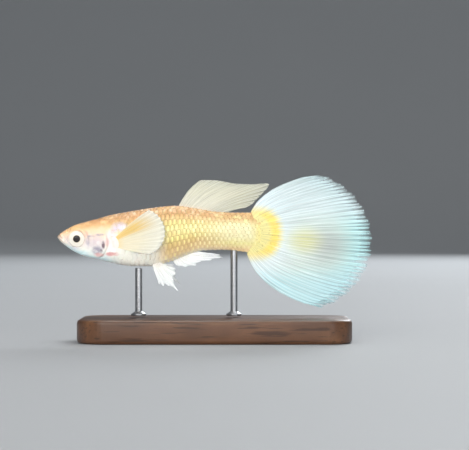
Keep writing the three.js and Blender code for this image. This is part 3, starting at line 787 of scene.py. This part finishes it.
def makeEye(side, name):
    c = eyeShape
    bpy.ops.mesh.primitive_uv_sphere_add(segments=eyeSetup["segments"], ring_count=eyeSetup["rings"],
                                         radius=mm, location=toRow(c["s"], side * c["y"], c["h"]),
                                         rotation=(-side * math.pi / 2, 0, 0))
    piece = bpy.context.object
    piece.scale = (c["radius"], c["radius"], c["depth"])
    applyPlace(piece)
    mesh = piece.data
    s, y, h = fishPlaces(mesh)
    away = np.hypot(s - c["s"], h - c["h"]) / c["radius"]
    outward = (y - side * c["y"]) * side > 0
    inPupil = np.clip(1 - (away * c["radius"] / c["pupil"]) ** 2, 0, 1)
    crown = c["depth"] * (1 - eyeSetup["crown"] * away ** 2) * np.sqrt(1 - ease(away, eyeSetup["brim"], 1))
    bulge = crown + eyeSetup["pupilRise"] * np.sqrt(inPupil)
    setPlaces(mesh, s, np.where(outward, side * (c["y"] + bulge), y), h)
    corners = cornerVertices(mesh)
    turn = np.arctan2(h - c["h"], s - c["s"]) / (2 * math.pi) + 0.5
    back = np.where(outward, away, 2 - away)
    cornerMap(mesh, "irisMap", back[corners], turn[corners])
    smoothShade(piece)
    return finishPiece(piece, f"eyeBall_{name}", sharedEye, "eye", f"eye_{name}")


sharedEye = eyeMaterial()
sides = ((-1, "left"), (1, "right"))
for side, name in sides:
    makeEye(side, name)
print("guppy: eyes")

# Scales: thin shields in staggered rows, each rooted in the skin and free at its rear edge
scaleSetup = {
    "rows": 11,
    "pitch": 0.78,
    "firstS": 6.2,
    "lastS": 34.6,
    "ahead": 0.95,  # the covered part of a scale, against its pitch
    "behind": 0.68,
    "height": 1.22,  # against the pitch of the rows
    "thickness": 0.035,
    "sink": 0.05,
    "lift": 0.05,
    "dome": 0.022,
    "corner": 0.42,  # how round its outline's corners are
    "seed": 7,
    "strayS": 0.08, "strayGirth": 0.007,  # how far a scale strays from its place in the rows
    "bellyFlat": 0.88,  # how much flatter scales lie on the belly
    "patch": 0.0015,  # half the size of a scale's patch in the OFBake map
    # how dark the scales' rims are along the body: rim pigment with painted shade
    "edgeShares": [(0.0, 0.14), (0.38, 0.22), (0.52, 0.54), (0.70, 0.42), (0.84, 0.2), (1.0, 0.08)],
}


def modelScale():  # one shield in its own frame: x backwards, y round the body, z out
    bpy.ops.mesh.primitive_grid_add(x_subdivisions=5, y_subdivisions=6, size=2)
    piece = bpy.context.object
    mesh = piece.data
    x, y, z = vertexRows(mesh).T
    roundX = x * np.sqrt(1 - scaleSetup["corner"] * y * y)
    roundY = y * np.sqrt(1 - scaleSetup["corner"] * x * x)
    domed = (1 - roundY ** 2 * 0.8) * 0.01
    mesh.vertices.foreach_set("co", np.stack([roundX, roundY, domed], axis=-1).ravel())
    selectOnly(piece)
    applyModifier(piece, "SOLIDIFY", thickness=1.0, offset=-1)
    x, y, z = vertexRows(mesh).T
    faces = np.array([tuple(face.vertices) for face in mesh.polygons])
    count = len(x) // 2
    x[count:], y[count:] = x[:count], y[:count]  # the underside lies straight below the top
    under = np.arange(len(x)) >= count
    bpy.data.objects.remove(piece)
    return x, y, under, faces


def scaleMaterial():
    shader = Shader("scaleWithPaintedGlint")
    base, cloud, fine = fishColour(shader)
    s = shader.fishPlace()[0]
    x, y = shader.mapPlace("shieldMap")
    girth = shader.mapPlace("bodyMap")[1]
    glint = shader.value("glint")
    away = shader.off(y, 0.5)
    # darker rims: each scale's dark edge pigment, with painted shade where it lies under its neighbours
    edge = shader.math("MAXIMUM", shader.fade(away, 0.30, 0.46), shader.fade(x, 0.50, 0.38))
    edge = shader.math("MAXIMUM", shader.times(shader.fade(x, 0.84, 0.98), 0.6), edge)
    along = shader.ramp(shader.math("DIVIDE", s, fish["bodyLength"]), scaleSetup["edgeShares"])
    flank = shader.times(shader.fade(girth, 0.92, 0.62, 0.3, 1.0), shader.fade(girth, 0.0, 0.22, 0.6, 1.0))
    whiteBelly = shader.times(shader.fade(s, 19.5, 16.5), shader.fade(girth, 0.4, 0.52))
    yellowed = shader.math("SUBTRACT", 1.0, shader.times(whiteBelly, 0.97))
    base = shader.mix(shader.times(edge, along, flank, yellowed), base, "scaleEdge")
    base = shader.mix(shader.times(shader.fade(glint, 0.5, 0.0), along, flank), base, "dullScale")
    # painted highlight: a pale crescent in the middle of each scale, stronger on some scales than others
    paintedGlint = shader.times(shader.fade(away, 0.42, 0.20), shader.fade(shader.off(x, 0.68), 0.12, 0.02),
                         shader.fade(s, 31.0, 24.0, 0.3, 1.0), shader.fade(s, 12.0, 13.6),
                         shader.fade(glint, 0.1, 0.7, 0.3, 1.0), shader.fade(girth, 0.16, 0.34, 0.12, 0.8),
                         shader.math("SUBTRACT", 1.0, whiteBelly))
    paintedGlintShade = shader.mix(shader.fade(s, 19.0, 29.0), "flankGlint", "stalkGlint")
    shader.set(base=shader.mix(paintedGlint, base, paintedGlintShade), roughness=shader.fade(fine, 0.3, 0.7, 0.3, 0.44),
               metallic=0.05, coat=0.35, coatRoughness=0.2, normal=shader.bump(fine, 0.00003, 0.4))
    return shader.material


def scalePlaces():
    c = scaleSetup
    draw = random.Random(c["seed"])
    for column in range(int((c["lastS"] - c["firstS"]) / c["pitch"]), -1, -1):
        for row in range(c["rows"]):
            for side in (-1, 1):
                stagger = 0.5 * (row % 2)
                s = c["firstS"] + (column + stagger) * c["pitch"] + draw.uniform(-c["strayS"], c["strayS"])
                girth = (row + 0.5) / c["rows"] + draw.uniform(-c["strayGirth"], c["strayGirth"])
                glint = draw.random()
                if coatEdge(girth) + 0.15 < s < c["lastS"]:
                    yield s, girth, side, glint


def makeScales():
    c = scaleSetup
    x, y, under, faces = modelScale()
    shields, maps, glints = [], {"OFBake": [], "bodyMap": [], "shieldMap": []}, []
    for s0, girth0, side, glint in scalePlaces():
        reach = np.where(x > 0, c["behind"], c["ahead"]) * c["pitch"]
        reach = reach * max(min(1, (fish["bodyLength"] + 0.3 - s0) / 2.2), 0.35)  # smaller at the end
        s = np.clip(s0 + x * reach, 0.1, fish["bodyLength"] - 0.05)
        girth = girth0 + y * 0.5 * c["height"] / c["rows"]
        over = np.clip(np.where(girth < 0, -girth, np.where(girth > 1, 2 - girth, girth)), 0, 1)
        flip = np.where((girth < 0) | (girth > 1), -1, 1)  # past the back's or the belly's middle
        flat = 1 - c["bellyFlat"] * float(ease(19 - s0, 0, 3) * ease(girth0, 0.36, 0.5))
        risen = ease(x, -0.9, 0.75)
        lift = flat * (c["lift"] * risen + c["dome"] * (1 - y * y)) - c["sink"] * (1 - risen)
        grow = -skinSetup["coatDepth"] + lift - np.where(under, c["thickness"], 0)
        newY, newH = bodyPoint(s, angleOf(s, over), grow)
        shields.append((rowPlaces(s, -side * newY * flip, newH), faces if side > 0 else faces[:, ::-1]))
        middle = np.array([s0 / fish["bodyLength"], 0.5 + 0.5 * side * girth0])
        maps["OFBake"].append(middle + np.stack([x, y], axis=-1) * c["patch"])
        maps["bodyMap"].append(np.stack([s / fish["bodyLength"], over], axis=-1))
        maps["shieldMap"].append(np.stack([(x + 1) / 2, (y + 1) / 2], axis=-1))
        glints.append(np.full(len(x), glint))
    mesh = bpy.data.meshes.new("guppyScales")
    places = np.concatenate([shield[0] for shield in shields])
    mesh.from_pydata(places.tolist(), [], np.concatenate(
        [shield[1] + i * len(x) for i, shield in enumerate(shields)]).tolist())
    mesh.update()
    piece = bpy.data.objects.new("guppyScales", mesh)
    bpy.context.scene.collection.objects.link(piece)
    corners = cornerVertices(mesh)
    for name, spots in maps.items():
        cornerMap(mesh, name, *np.concatenate(spots)[corners].T)
    pointValue(mesh, "glint", np.concatenate(glints))
    smoothShade(piece)
    print("guppy: scales", len(glints), "faces", len(mesh.polygons))
    return finishPiece(piece, "guppyScales", scaleMaterial(), "scales")


makeScales()

# Fins: a sheet drawn from root to tip, with branched rays raised out of both of its faces
finSetup = {
    "membrane": 0.045,  # half of its thickness
    "ray": 0.055,  # how far a ray stands out of each face
    "tip": 0.45,  # share of its thickness that a fin keeps at its rim
    "streaks": 150.0,
    "streakShade": (150, 164, 160),
}
# A fin's thickness: what its root has more, how far that reaches, how high its rays stand


def bend(root, knee, tip, v):
    a, b, c = (1 - v) ** 2, 2 * v * (1 - v), v ** 2
    return a * root[0] + b * knee[0] + c * tip[0], a * root[1] + b * knee[1] + c * tip[1]


def rayPattern(u, v, rays, splits, width):  # 1 on a ray and 0 between rays
    across = u * rays - np.floor(np.clip(u * rays, 0, rays - 1e-6))
    near = np.zeros_like(across)
    offsets = [np.zeros_like(v)]
    for start, spread in splits:
        part = ease(v, start, start + 0.3) * spread
        offsets = [o + k * part for o in offsets for k in (-1, 1)]
    for offset in offsets:
        near = np.maximum(near, bump(across - 0.5 - offset, width))
    return near


def halfThickness(c, v, ray):
    extra, end, relief = c["thickness"]
    rim = 1 - (1 - finSetup["tip"]) * ease(v, 0.7, 1)
    root = extra * (1 - ease(v, 0, end))
    return (finSetup["membrane"] + relief * finSetup["ray"] * ray) * rim + root


def makeFin(name, c, middle, rayAt, material, slot, node):
    bpy.ops.mesh.primitive_grid_add(x_subdivisions=c["columns"], y_subdivisions=c["rows"], size=1)
    piece = bpy.context.object
    mesh = piece.data
    u, v = vertexRows(mesh).T[:2] + 0.5
    places = middle(u, v)
    setPlaces(mesh, *places)
    selectOnly(piece)
    sheet, normals = rowPlaces(*places), vertexRows(mesh, "normal")
    applyModifier(piece, "SOLIDIFY", thickness=2 * finSetup["membrane"] * mm, offset=0)
    solid = vertexRows(mesh)
    count = len(u)
    shift = np.sign(np.sum((solid[:count] - sheet) * normals, axis=1, keepdims=True))
    half = shift * normals * (halfThickness(c, v, rayAt(u, v))[:, None] * mm)
    solid[:count] = sheet + half
    solid[count:] = sheet - half
    mesh.vertices.foreach_set("co", solid.ravel())
    mesh.update()
    corners = cornerVertices(mesh)
    both = np.concatenate([u, u]), np.concatenate([v, v])
    cornerMap(mesh, "finMap", both[0][corners], both[1][corners])
    pointValue(mesh, "ray", rayAt(*both))
    smoothShade(piece)
    return finishPiece(piece, name, material, slot, node)


tailFin = {
    "s": 41.6, "h": -0.7, "radius": 11.85, "top": 77, "bottom": -75, "rays": 20,
    "root": [(32.9, 4.25), (33.5, 2.6), (33.7, 0.8), (33.3, -1.1), (32.2, -2.75)],
    "knee": [(34.6, 8.6), (37.6, 4.2), (38.9, 0.4), (37.2, -4.4), (34.0, -9.2)],
    "columns": 320, "rows": 88, "thickness": (0.5, 0.3, 0.5), "splits": [(0.16, 0.25), (0.5, 0.075)],
    "fringe": 0.6, "uneven": 0.3,
    "milk": [(0.0, (226, 235, 238)), (0.35, (217, 230, 232)), (0.58, (206, 222, 214)),
             (0.78, (192, 218, 212)), (0.9, (178, 225, 226)), (1.0, (174, 230, 234))],
    "upper": (214, 231, 236), "lower": (172, 222, 232), "ray": (252, 255, 255),
    "tints": [  # centre and reach on the fish, share, shade
        ((45.4, -1.4), (5.2, 5.0), 0.8, (170, 178, 174)),
        ((42.0, -0.6), (4.4, 3.2), 0.8, (212, 212, 142)),
    ],
    "crescent": (33.0, 0.65), "crescentInner": (237, 226, 152), "crescentRay": (248, 240, 176),
    "clear": [(0.0, 1.0), (0.3, 0.96), (0.6, 0.8), (0.8, 0.68), (0.92, 0.42), (1.0, 0.03)],
}


def unevenRays(u):  # the rays don't stand at quite even distances
    at = u * tailFin["rays"]
    sway = 0.12 * np.sin(2.3 * at) + 0.05 * np.sin(5.1 * at + 1)
    return u + sway * np.sin(math.pi * u) / tailFin["rays"]


def tailMiddle(u, v):
    root, knee = tailRoot(u), tailKnee(u)
    angle = np.radians(tailFin["top"] + (tailFin["bottom"] - tailFin["top"]) * u)
    ray = rayPattern(unevenRays(u), np.ones_like(v), tailFin["rays"], tailFin["splits"], 0.11)
    sway = 0.5 + 0.5 * np.sin(3.7 * tailFin["rays"] * u)
    short = tailFin["fringe"] * (1 - ray) + tailFin["uneven"] * sway
    radius = tailFin["radius"] - short * ease(v, 0.85, 1)
    tip = tailFin["s"] + radius * np.cos(angle), tailFin["h"] + radius * np.sin(angle)
    s, h = bend(root, knee, tip, v)
    far = np.maximum(s - 34, 0) / 19
    y = 0.75 * far * np.sin(5.2 * far + 2.4 * (u - 0.5)) + 0.5 * far * far * np.sin(9 * u)
    return s, y, h


def tailRays(u, v):
    return rayPattern(unevenRays(u), v, tailFin["rays"], tailFin["splits"], 0.06 + 0.02 * v)


def finMaterial(name, colours, opacity, veil=0.25):
    shader = Shader(name)
    u, v = shader.mapPlace("finMap")
    ray = shader.value("ray")
    coarse, hair = (shader.streaks(shader.times(u, finSetup["streaks"] * k), shader.times(v, 2.0 * k))
                    for k in (0.4, 1.6))
    streak = shader.math("ADD", shader.times(coarse, 0.55), shader.times(hair, 0.45))
    base = colours(shader, u, v, ray)
    dim = shader.times(shader.fade(streak, 0.55, 0.36), veil)
    base = shader.mix(dim, base, shader.mix(0.55, base, finSetup["streakShade"]))
    thin = shader.fade(streak, 0.36, 0.56, 1.0 - veil, 1.0)
    along = shader.node("ShaderNodeCombineXYZ", {0: v}).outputs[0]
    joints = shader.node("ShaderNodeTexWave", {"Vector": along, "Scale": 22.0, "Distortion": 0.0},
                         wave_type="BANDS", bands_direction="X").outputs[1]
    height = shader.math("ADD", shader.times(joints, ray), streak)
    shader.set(base=base, roughness=0.4, coat=0.2, coatRoughness=0.2,
               alpha=shader.math("MULTIPLY", opacity(shader, u, v, ray), thin, clamp=True),
               normal=shader.bump(height, 0.00002, 0.35))
    return shader.material


def tailColours(shader, u, v, ray):
    c = tailFin
    place = shader.fishPlace()
    square = [shader.math("POWER", shader.math("SUBTRACT", place[i], c["crescent"][i]), 2.0) for i in (0, 1)]
    away = shader.math("SQRT", shader.math("ADD", *square))
    wander = shader.math("SUBTRACT", shader.streaks(shader.times(u, 55.0), detail=2.0, roughness=0.5), 0.5)
    ragged = shader.math("ADD", away, shader.times(wander, 2.2))
    milk = shader.ramp(v, c["milk"])
    milk = shader.mix(shader.times(shader.fade(place[1], 1.0, 5.5), 0.75), milk, c["upper"])
    milk = shader.mix(shader.times(shader.fade(place[1], -4.0, -8.5), 0.75), milk, c["lower"])
    for centre, reach, share, tint in c["tints"]:
        milk = shader.mix(shader.times(shader.spot(place, centre, reach, 0.1), share), milk, tint)
    milk = shader.mix(shader.times(ray, shader.fade(v, 0.4, 0.9, 0.5, 0.2)), milk, c["ray"])
    ring = shader.times(shader.fade(away, 2.9, 3.9), shader.fade(ragged, 5.6, 4.4), 0.8)
    crescent = shader.mix(ring, c["crescentInner"], "deepYellow")
    crescent = shader.mix(shader.times(ray, 0.3), crescent, c["crescentRay"])
    specks = shader.times(freckles(shader), shader.fade(away, 5.0, 2.6, 0.2, 0.5))
    crescent = shader.mix(specks, crescent, "freckle")
    level = shader.fade(shader.off(place[1], c["crescent"][1]), 5.6, 2.8)
    return shader.mix(shader.times(shader.fade(ragged, 6.0, 4.3), level), milk, crescent)


def tailOpacity(shader, u, v, ray):
    rays = shader.times(ray, shader.fade(v, 1.0, 0.93, 0.35, 0.97))
    return shader.math("MAXIMUM", shader.ramp(v, tailFin["clear"]), rays)


tailRoot, tailKnee = routeThrough(tailFin["root"]), routeThrough(tailFin["knee"])
milkTail = finMaterial("milkTail", tailColours, tailOpacity)
tail = makeFin("tailFin", tailFin, tailMiddle, tailRays, milkTail, "tail_fin", "caudal_fin")
print("guppy: tail fin", len(tail.data.polygons))

dorsalFin = {
    "columns": 128, "rows": 64, "thickness": (0.18, 0.3, 0.5),
    "rays": 8, "splits": [(0.2, 0.24), (0.5, 0.09)], "rayWidth": 0.07,
    "root": [(20.3, 4.6), (22.4, 4.4), (24.6, 4.0), (26.9, 3.6)],
    "knee": [(21.7, 8.0), (25.3, 7.2), (28.6, 6.2), (30.6, 4.9)],
    "tip": [(24.3, 9.7), (27.2, 9.62), (30.0, 9.1), (33.0, 8.95), (35.9, 8.98), (35.5, 8.1), (34.1, 6.7),
            (33.1, 5.6), (32.0, 4.95)],
    "cream": [(0.0, (226, 205, 172)), (0.2, (215, 212, 194)), (0.7, (210, 208, 184)),
              (1.0, (206, 206, 186))],
    "ray": (252, 251, 242),
    "clear": [(0.0, 0.95), (0.5, 0.86), (0.85, 0.72), (1.0, 0.45)],
}
dorsalRoot, dorsalKnee, dorsalTip = (routeThrough(dorsalFin[part]) for part in ("root", "knee", "tip"))


def dorsalMiddle(u, v):
    s, h = bend(dorsalRoot(u), dorsalKnee(u), dorsalTip(u), v)
    over = np.maximum(h - 4.5, 0)
    return s, 0.06 * over + 0.11 * over * np.sin(0.42 * (s - 22)), h


def dorsalRays(u, v):
    return rayPattern(u, v, dorsalFin["rays"], dorsalFin["splits"], dorsalFin["rayWidth"])


def creamColours(shader, u, v, ray):
    return shader.mix(shader.times(ray, 0.25), shader.ramp(v, dorsalFin["cream"]), dorsalFin["ray"])


def creamOpacity(shader, u, v, ray):
    clear = shader.times(shader.ramp(v, dorsalFin["clear"]), shader.fade(u, 0.45, 0.9, 1.0, 0.72))
    return shader.math("MAXIMUM", clear, shader.times(ray, 0.85))


creamFin = finMaterial("creamFin", creamColours, creamOpacity)
makeFin("dorsalFin", dorsalFin, dorsalMiddle, dorsalRays, creamFin, "fin", "dorsal_fin")
print("guppy: dorsal fin")


# Fins whose rays end each at a length of its own
def rayedMiddle(rootOf, kneeOf, tips, notch):
    def read(u, v):
        at = u * (len(tips) - 1)
        tip = [np.interp(at, np.arange(len(tips)), values) for values in zip(*tips)]
        root = rootOf(u)
        pull = notch * np.sin(math.pi * (at - np.floor(at))) ** 2
        tip = tip[0] + (root[0] - tip[0]) * pull, tip[1] + (root[1] - tip[1]) * pull
        return bend(root, kneeOf(u, root, tip), tip, v)

    return read


def tipRays(count, splits=((0.45, 0.10),), width=0.09):
    def read(u, v):
        at = u * (count - 1) + 0.5
        return rayPattern(at / count, v, count, splits, width)
    return read


analFin = {
    "columns": 120, "rows": 48, "thickness": (0.12, 0.4, 1.0), "notch": 0.08,
    "root": [(19.4, -3.6), (20.6, -3.1), (21.8, -2.6), (23.0, -2.1)],
    "knee": [(19.9, -4.9), (22.2, -4.2), (24.0, -3.3), (24.8, -2.75)],
    "tips": [(20.7, -4.95), (21.7, -5.05), (23.5, -4.85), (24.2, -4.2), (25.9, -3.95), (28.1, -3.5),
             (27.6, -2.98), (26.4, -2.72)],
}
whiteFinSetup = {
    "milk": [(0.0, (248, 238, 222)), (0.3, (247, 247, 243)), (1.0, (240, 246, 248))],
    "ray": (254, 254, 254),
    "clear": [(0.0, 0.98), (0.5, 0.86), (0.9, 0.7), (1.0, 0.5)],
}
analRoot, analKnee = routeThrough(analFin["root"]), routeThrough(analFin["knee"])
analPlane = rayedMiddle(analRoot, lambda u, root, tip: analKnee(u), analFin["tips"], analFin["notch"])


def analMiddle(u, v):
    s, h = analPlane(u, v)
    return s, 0.12 * np.sin(1.1 * (s - 20)) * v, h


def whiteColours(shader, u, v, ray):
    return shader.mix(shader.times(ray, 0.5), shader.ramp(v, whiteFinSetup["milk"]), whiteFinSetup["ray"])


def whiteOpacity(shader, u, v, ray):
    return shader.math("MAXIMUM", shader.ramp(v, whiteFinSetup["clear"]), shader.times(ray, 0.95))


whiteFin = finMaterial("whiteFin", whiteColours, whiteOpacity)
makeFin("analFin", analFin, analMiddle, tipRays(len(analFin["tips"])), whiteFin, "fin", "anal_fin")

pelvicFin = {
    "columns": 108, "rows": 48, "thickness": (0.12, 0.3, 1.0), "notch": 0.08,
    "apex": (15.9, -4.75),
    "tips": [(17.3, -7.95), (18.1, -8.3), (18.9, -8.2), (20.6, -9.1), (19.75, -7.45), (20.15, -6.2),
             (20.0, -5.3)],
    "swing": {-1: 0, 1: 9}, "reach": {-1: 1, 1: 0.94},
}


def pelvicMiddle(side):
    apex = pelvicFin["apex"]
    turn = math.radians(pelvicFin["swing"][side])
    reach = pelvicFin["reach"][side]
    tips = []
    for s, h in pelvicFin["tips"]:
        ds, dh = (s - apex[0]) * reach, (h - apex[1]) * reach
        tips.append((apex[0] + ds * math.cos(turn) - dh * math.sin(turn),
                     apex[1] + ds * math.sin(turn) + dh * math.cos(turn)))

    def rootOf(u):
        return apex[0] - 0.1 + 1.5 * u, apex[1] + 0.75 - 0.15 * u

    def kneeOf(u, root, tip):
        return (root[0] + tip[0]) / 2 + 0.1, (root[1] + tip[1]) / 2 - 0.35 * u

    plane = rayedMiddle(rootOf, kneeOf, tips, pelvicFin["notch"])

    def read(u, v):
        s, h = plane(u, v)
        down = np.maximum(apex[1] - h, 0)
        return s, side * (0.75 + 0.42 * down + 0.05 * (s - apex[0])), h

    return read


pectoralFin = {
    "columns": 156, "rows": 56, "thickness": (0.12, 0.25, 0.45), "rays": 13,
    "s": 14.5, "h": 0.8, "radius": 4.05, "top": 72, "bottom": -66,
    "rootS": 9.75, "rootTop": -0.3, "rootBottom": -1.75, "lean": 0.55, "fringe": 0.16, "veil": 0.14,
    "milk": [(0.0, (240, 216, 160)), (0.2, (240, 229, 200)), (0.5, (241, 233, 207)),
             (1.0, (238, 237, 226))],
    "streak": (240, 204, 118), "ray": (253, 253, 246),
}


def sideAt(s, h):  # half width of the body at a height
    steps = np.linspace(0.02, math.pi - 0.02, 300)
    y, heights = bodyPoint(np.full_like(steps, s), steps)
    return float(np.interp(-h, -heights, -y))


def pectoralMiddle(side):
    c = pectoralFin
    drop = c["rootBottom"] - c["rootTop"]
    rootU = np.linspace(0, 1, 12)
    rootSides = [sideAt(c["rootS"] + c["lean"] * u, c["rootTop"] + drop * u) for u in rootU]

    def read(u, v):
        angle = np.radians(c["top"] + (c["bottom"] - c["top"]) * u)
        short = c["fringe"] * (1 - tipRays(c["rays"])(u, np.ones_like(v)))
        radius = c["radius"] - short * ease(v, 0.85, 1)
        tip = c["s"] + radius * np.cos(angle), c["h"] + radius * np.sin(angle)
        root = c["rootS"] + c["lean"] * u, c["rootTop"] + drop * u
        knee = (root[0] + tip[0]) / 2 - 0.3, (root[1] + tip[1]) / 2 + 0.5 * (0.5 - u)
        s, h = bend(root, knee, tip, v)
        out = np.interp(u, rootU, rootSides) - 0.35 + 2.5 * v + 0.9 * v * v - 0.8 * v ** 3
        return s, side * out, h

    return read


def pectoralColours(shader, u, v, ray):
    across = shader.math("SUBTRACT", u, shader.times(v, 0.08))
    streak = shader.times(shader.fade(shader.off(across, 0.14), 0.24, 0.06),
                          shader.fade(v, 0.98, 0.45), 0.95)
    milk = shader.mix(streak, shader.ramp(v, pectoralFin["milk"]), pectoralFin["streak"])
    return shader.mix(shader.times(ray, 0.25), milk, pectoralFin["ray"])


goldenFin = finMaterial("pectoralFin", pectoralColours, whiteOpacity, pectoralFin["veil"])
for side, name in sides:
    makeFin(f"pelvicFin_{name}", pelvicFin, pelvicMiddle(side), tipRays(len(pelvicFin["tips"])), whiteFin,
            "fin", f"pelvic_fin_{name}")
    makeFin(f"pectoralFin_{name}", pectoralFin, pectoralMiddle(side), tipRays(pectoralFin["rays"]),
            goldenFin, "fin", f"pectoral_fin_{name}")
print("guppy: anal, pelvic and pectoral fins")

# Stand: a bevelled walnut plate and two steel rods with turned feet
standSetup = {
    "corner": 5.0, "bevel": 0.7,
    "rodRadius": 0.6, "footRadius": 1.3, "footHeight": 0.8, "footStep": 0.12, "rodBevel": 0.08,
    "darkWood": (58, 36, 22), "wood": (92, 60, 38), "paleWood": (126, 88, 58),
    "rings": (66, 42, 27), "pores": (34, 20, 12),
    "steel": (172, 174, 177), "paleSteel": (196, 197, 199),
}


def walnutMaterial():
    c = standSetup
    shader = Shader("oiledWalnut")
    grain = shader.noise(140.0, 6.0, 0.6, stretch=(0.25, 3.0, 1.0))
    place = shader.node("ShaderNodeTexCoord").outputs["Object"]
    rings = shader.node("ShaderNodeTexWave", {"Vector": place, "Scale": 60.0, "Distortion": 9.0,
                                              "Detail": 3.0, "Detail Scale": 1.4},
                        wave_type="BANDS", bands_direction="Y").outputs[1]
    pore = shader.fade(shader.noise(2400.0, 2.0, 0.5, stretch=(0.06, 1.0, 1.0)), 0.42, 0.34)
    base = shader.ramp(grain, [(0.25, c["darkWood"]), (0.5, c["wood"]), (0.75, c["paleWood"])])
    base = shader.mix(shader.times(rings, 0.4), base, c["rings"])
    base = shader.mix(shader.times(pore, 0.6), base, c["pores"])
    shader.set(base=base, roughness=shader.fade(grain, 0.3, 0.7, 0.34, 0.5), coat=0.25, coatRoughness=0.25,
               normal=shader.bump(shader.math("SUBTRACT", 1.0, pore), 0.00003, 0.35))
    return shader.material


def steelMaterial():
    shader = Shader("brushedRod")
    turned = shader.noise(500.0, 2.0, 0.5, stretch=(0.2, 0.2, 6.0))
    shader.set(base=shader.mix(turned, standSetup["steel"], standSetup["paleSteel"]), metallic=1.0,
               roughness=shader.fade(turned, 0.3, 0.7, 0.3, 0.4), normal=shader.bump(turned, 0.000004, 0.2))
    return shader.material


def bevelEdges(piece, upright, offset, segments):  # either the plate's upright edges or its level ones
    for edge in piece.data.edges:
        ends = [piece.data.vertices[i].co for i in edge.vertices]
        edge.select = (abs(ends[0].z - ends[1].z) > 1e-6) == upright
    bpy.ops.object.mode_set(mode="EDIT")
    bpy.ops.mesh.bevel(offset=offset * mm, offset_type="OFFSET", segments=segments, affect="EDGES")
    bpy.ops.object.mode_set(mode="OBJECT")


def makePlate():
    low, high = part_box("stand_base")
    bpy.ops.mesh.primitive_cube_add(size=1, location=(low + high) / 2)
    piece = bpy.context.object
    piece.scale = high - low
    applyPlace(piece)
    editParts("EDGE")
    bpy.ops.object.mode_set(mode="OBJECT")
    bevelEdges(piece, True, standSetup["corner"], 12)
    bevelEdges(piece, False, standSetup["bevel"], 5)
    bpy.ops.object.shade_smooth_by_angle(angle=math.radians(40))
    return finishPiece(piece, "standPlate", walnutMaterial(), "stand_wood", "stand_base")


def makeRod(name, material):
    c = standSetup
    low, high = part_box(f"stand_rod_{name}")
    middle = (low + high) / 2
    radius, foot, half = c["rodRadius"] * mm, c["footRadius"] * mm, c["footHeight"] * mm / 2
    bpy.ops.mesh.primitive_cylinder_add(vertices=48, radius=foot, depth=half,
                                        location=(middle.x, middle.y, low.z + half / 2))
    piece = bpy.context.object
    applyPlace(piece)
    editParts("FACE")
    bpy.ops.object.mode_set(mode="OBJECT")
    for face in piece.data.polygons:
        face.select = face.normal.z > 0.9
    bpy.ops.object.mode_set(mode="EDIT")
    bpy.ops.mesh.inset(thickness=foot * c["footStep"])
    bpy.ops.mesh.extrude_region_move(TRANSFORM_OT_translate={"value": (0, 0, half)})
    shrink = radius / (foot * (1 - c["footStep"]))
    top = (middle.x, middle.y, low.z + 2 * half)
    bpy.ops.transform.resize(value=(shrink, shrink, 1), center_override=top)
    bpy.ops.mesh.extrude_region_move(TRANSFORM_OT_translate={"value": (0, 0, high.z - low.z - 2 * half)})
    bpy.ops.object.mode_set(mode="OBJECT")
    applyModifier(piece, "BEVEL", width=c["rodBevel"] * mm, segments=3, limit_method="ANGLE")
    bpy.ops.object.shade_smooth_by_angle(angle=math.radians(35))
    return finishPiece(piece, f"standRod_{name}", material, "stand_rod", f"stand_rod_{name}")


makePlate()
rodSteel = steelMaterial()
for name in ("front", "rear"):
    makeRod(name, rodSteel)
print("guppy: stand")
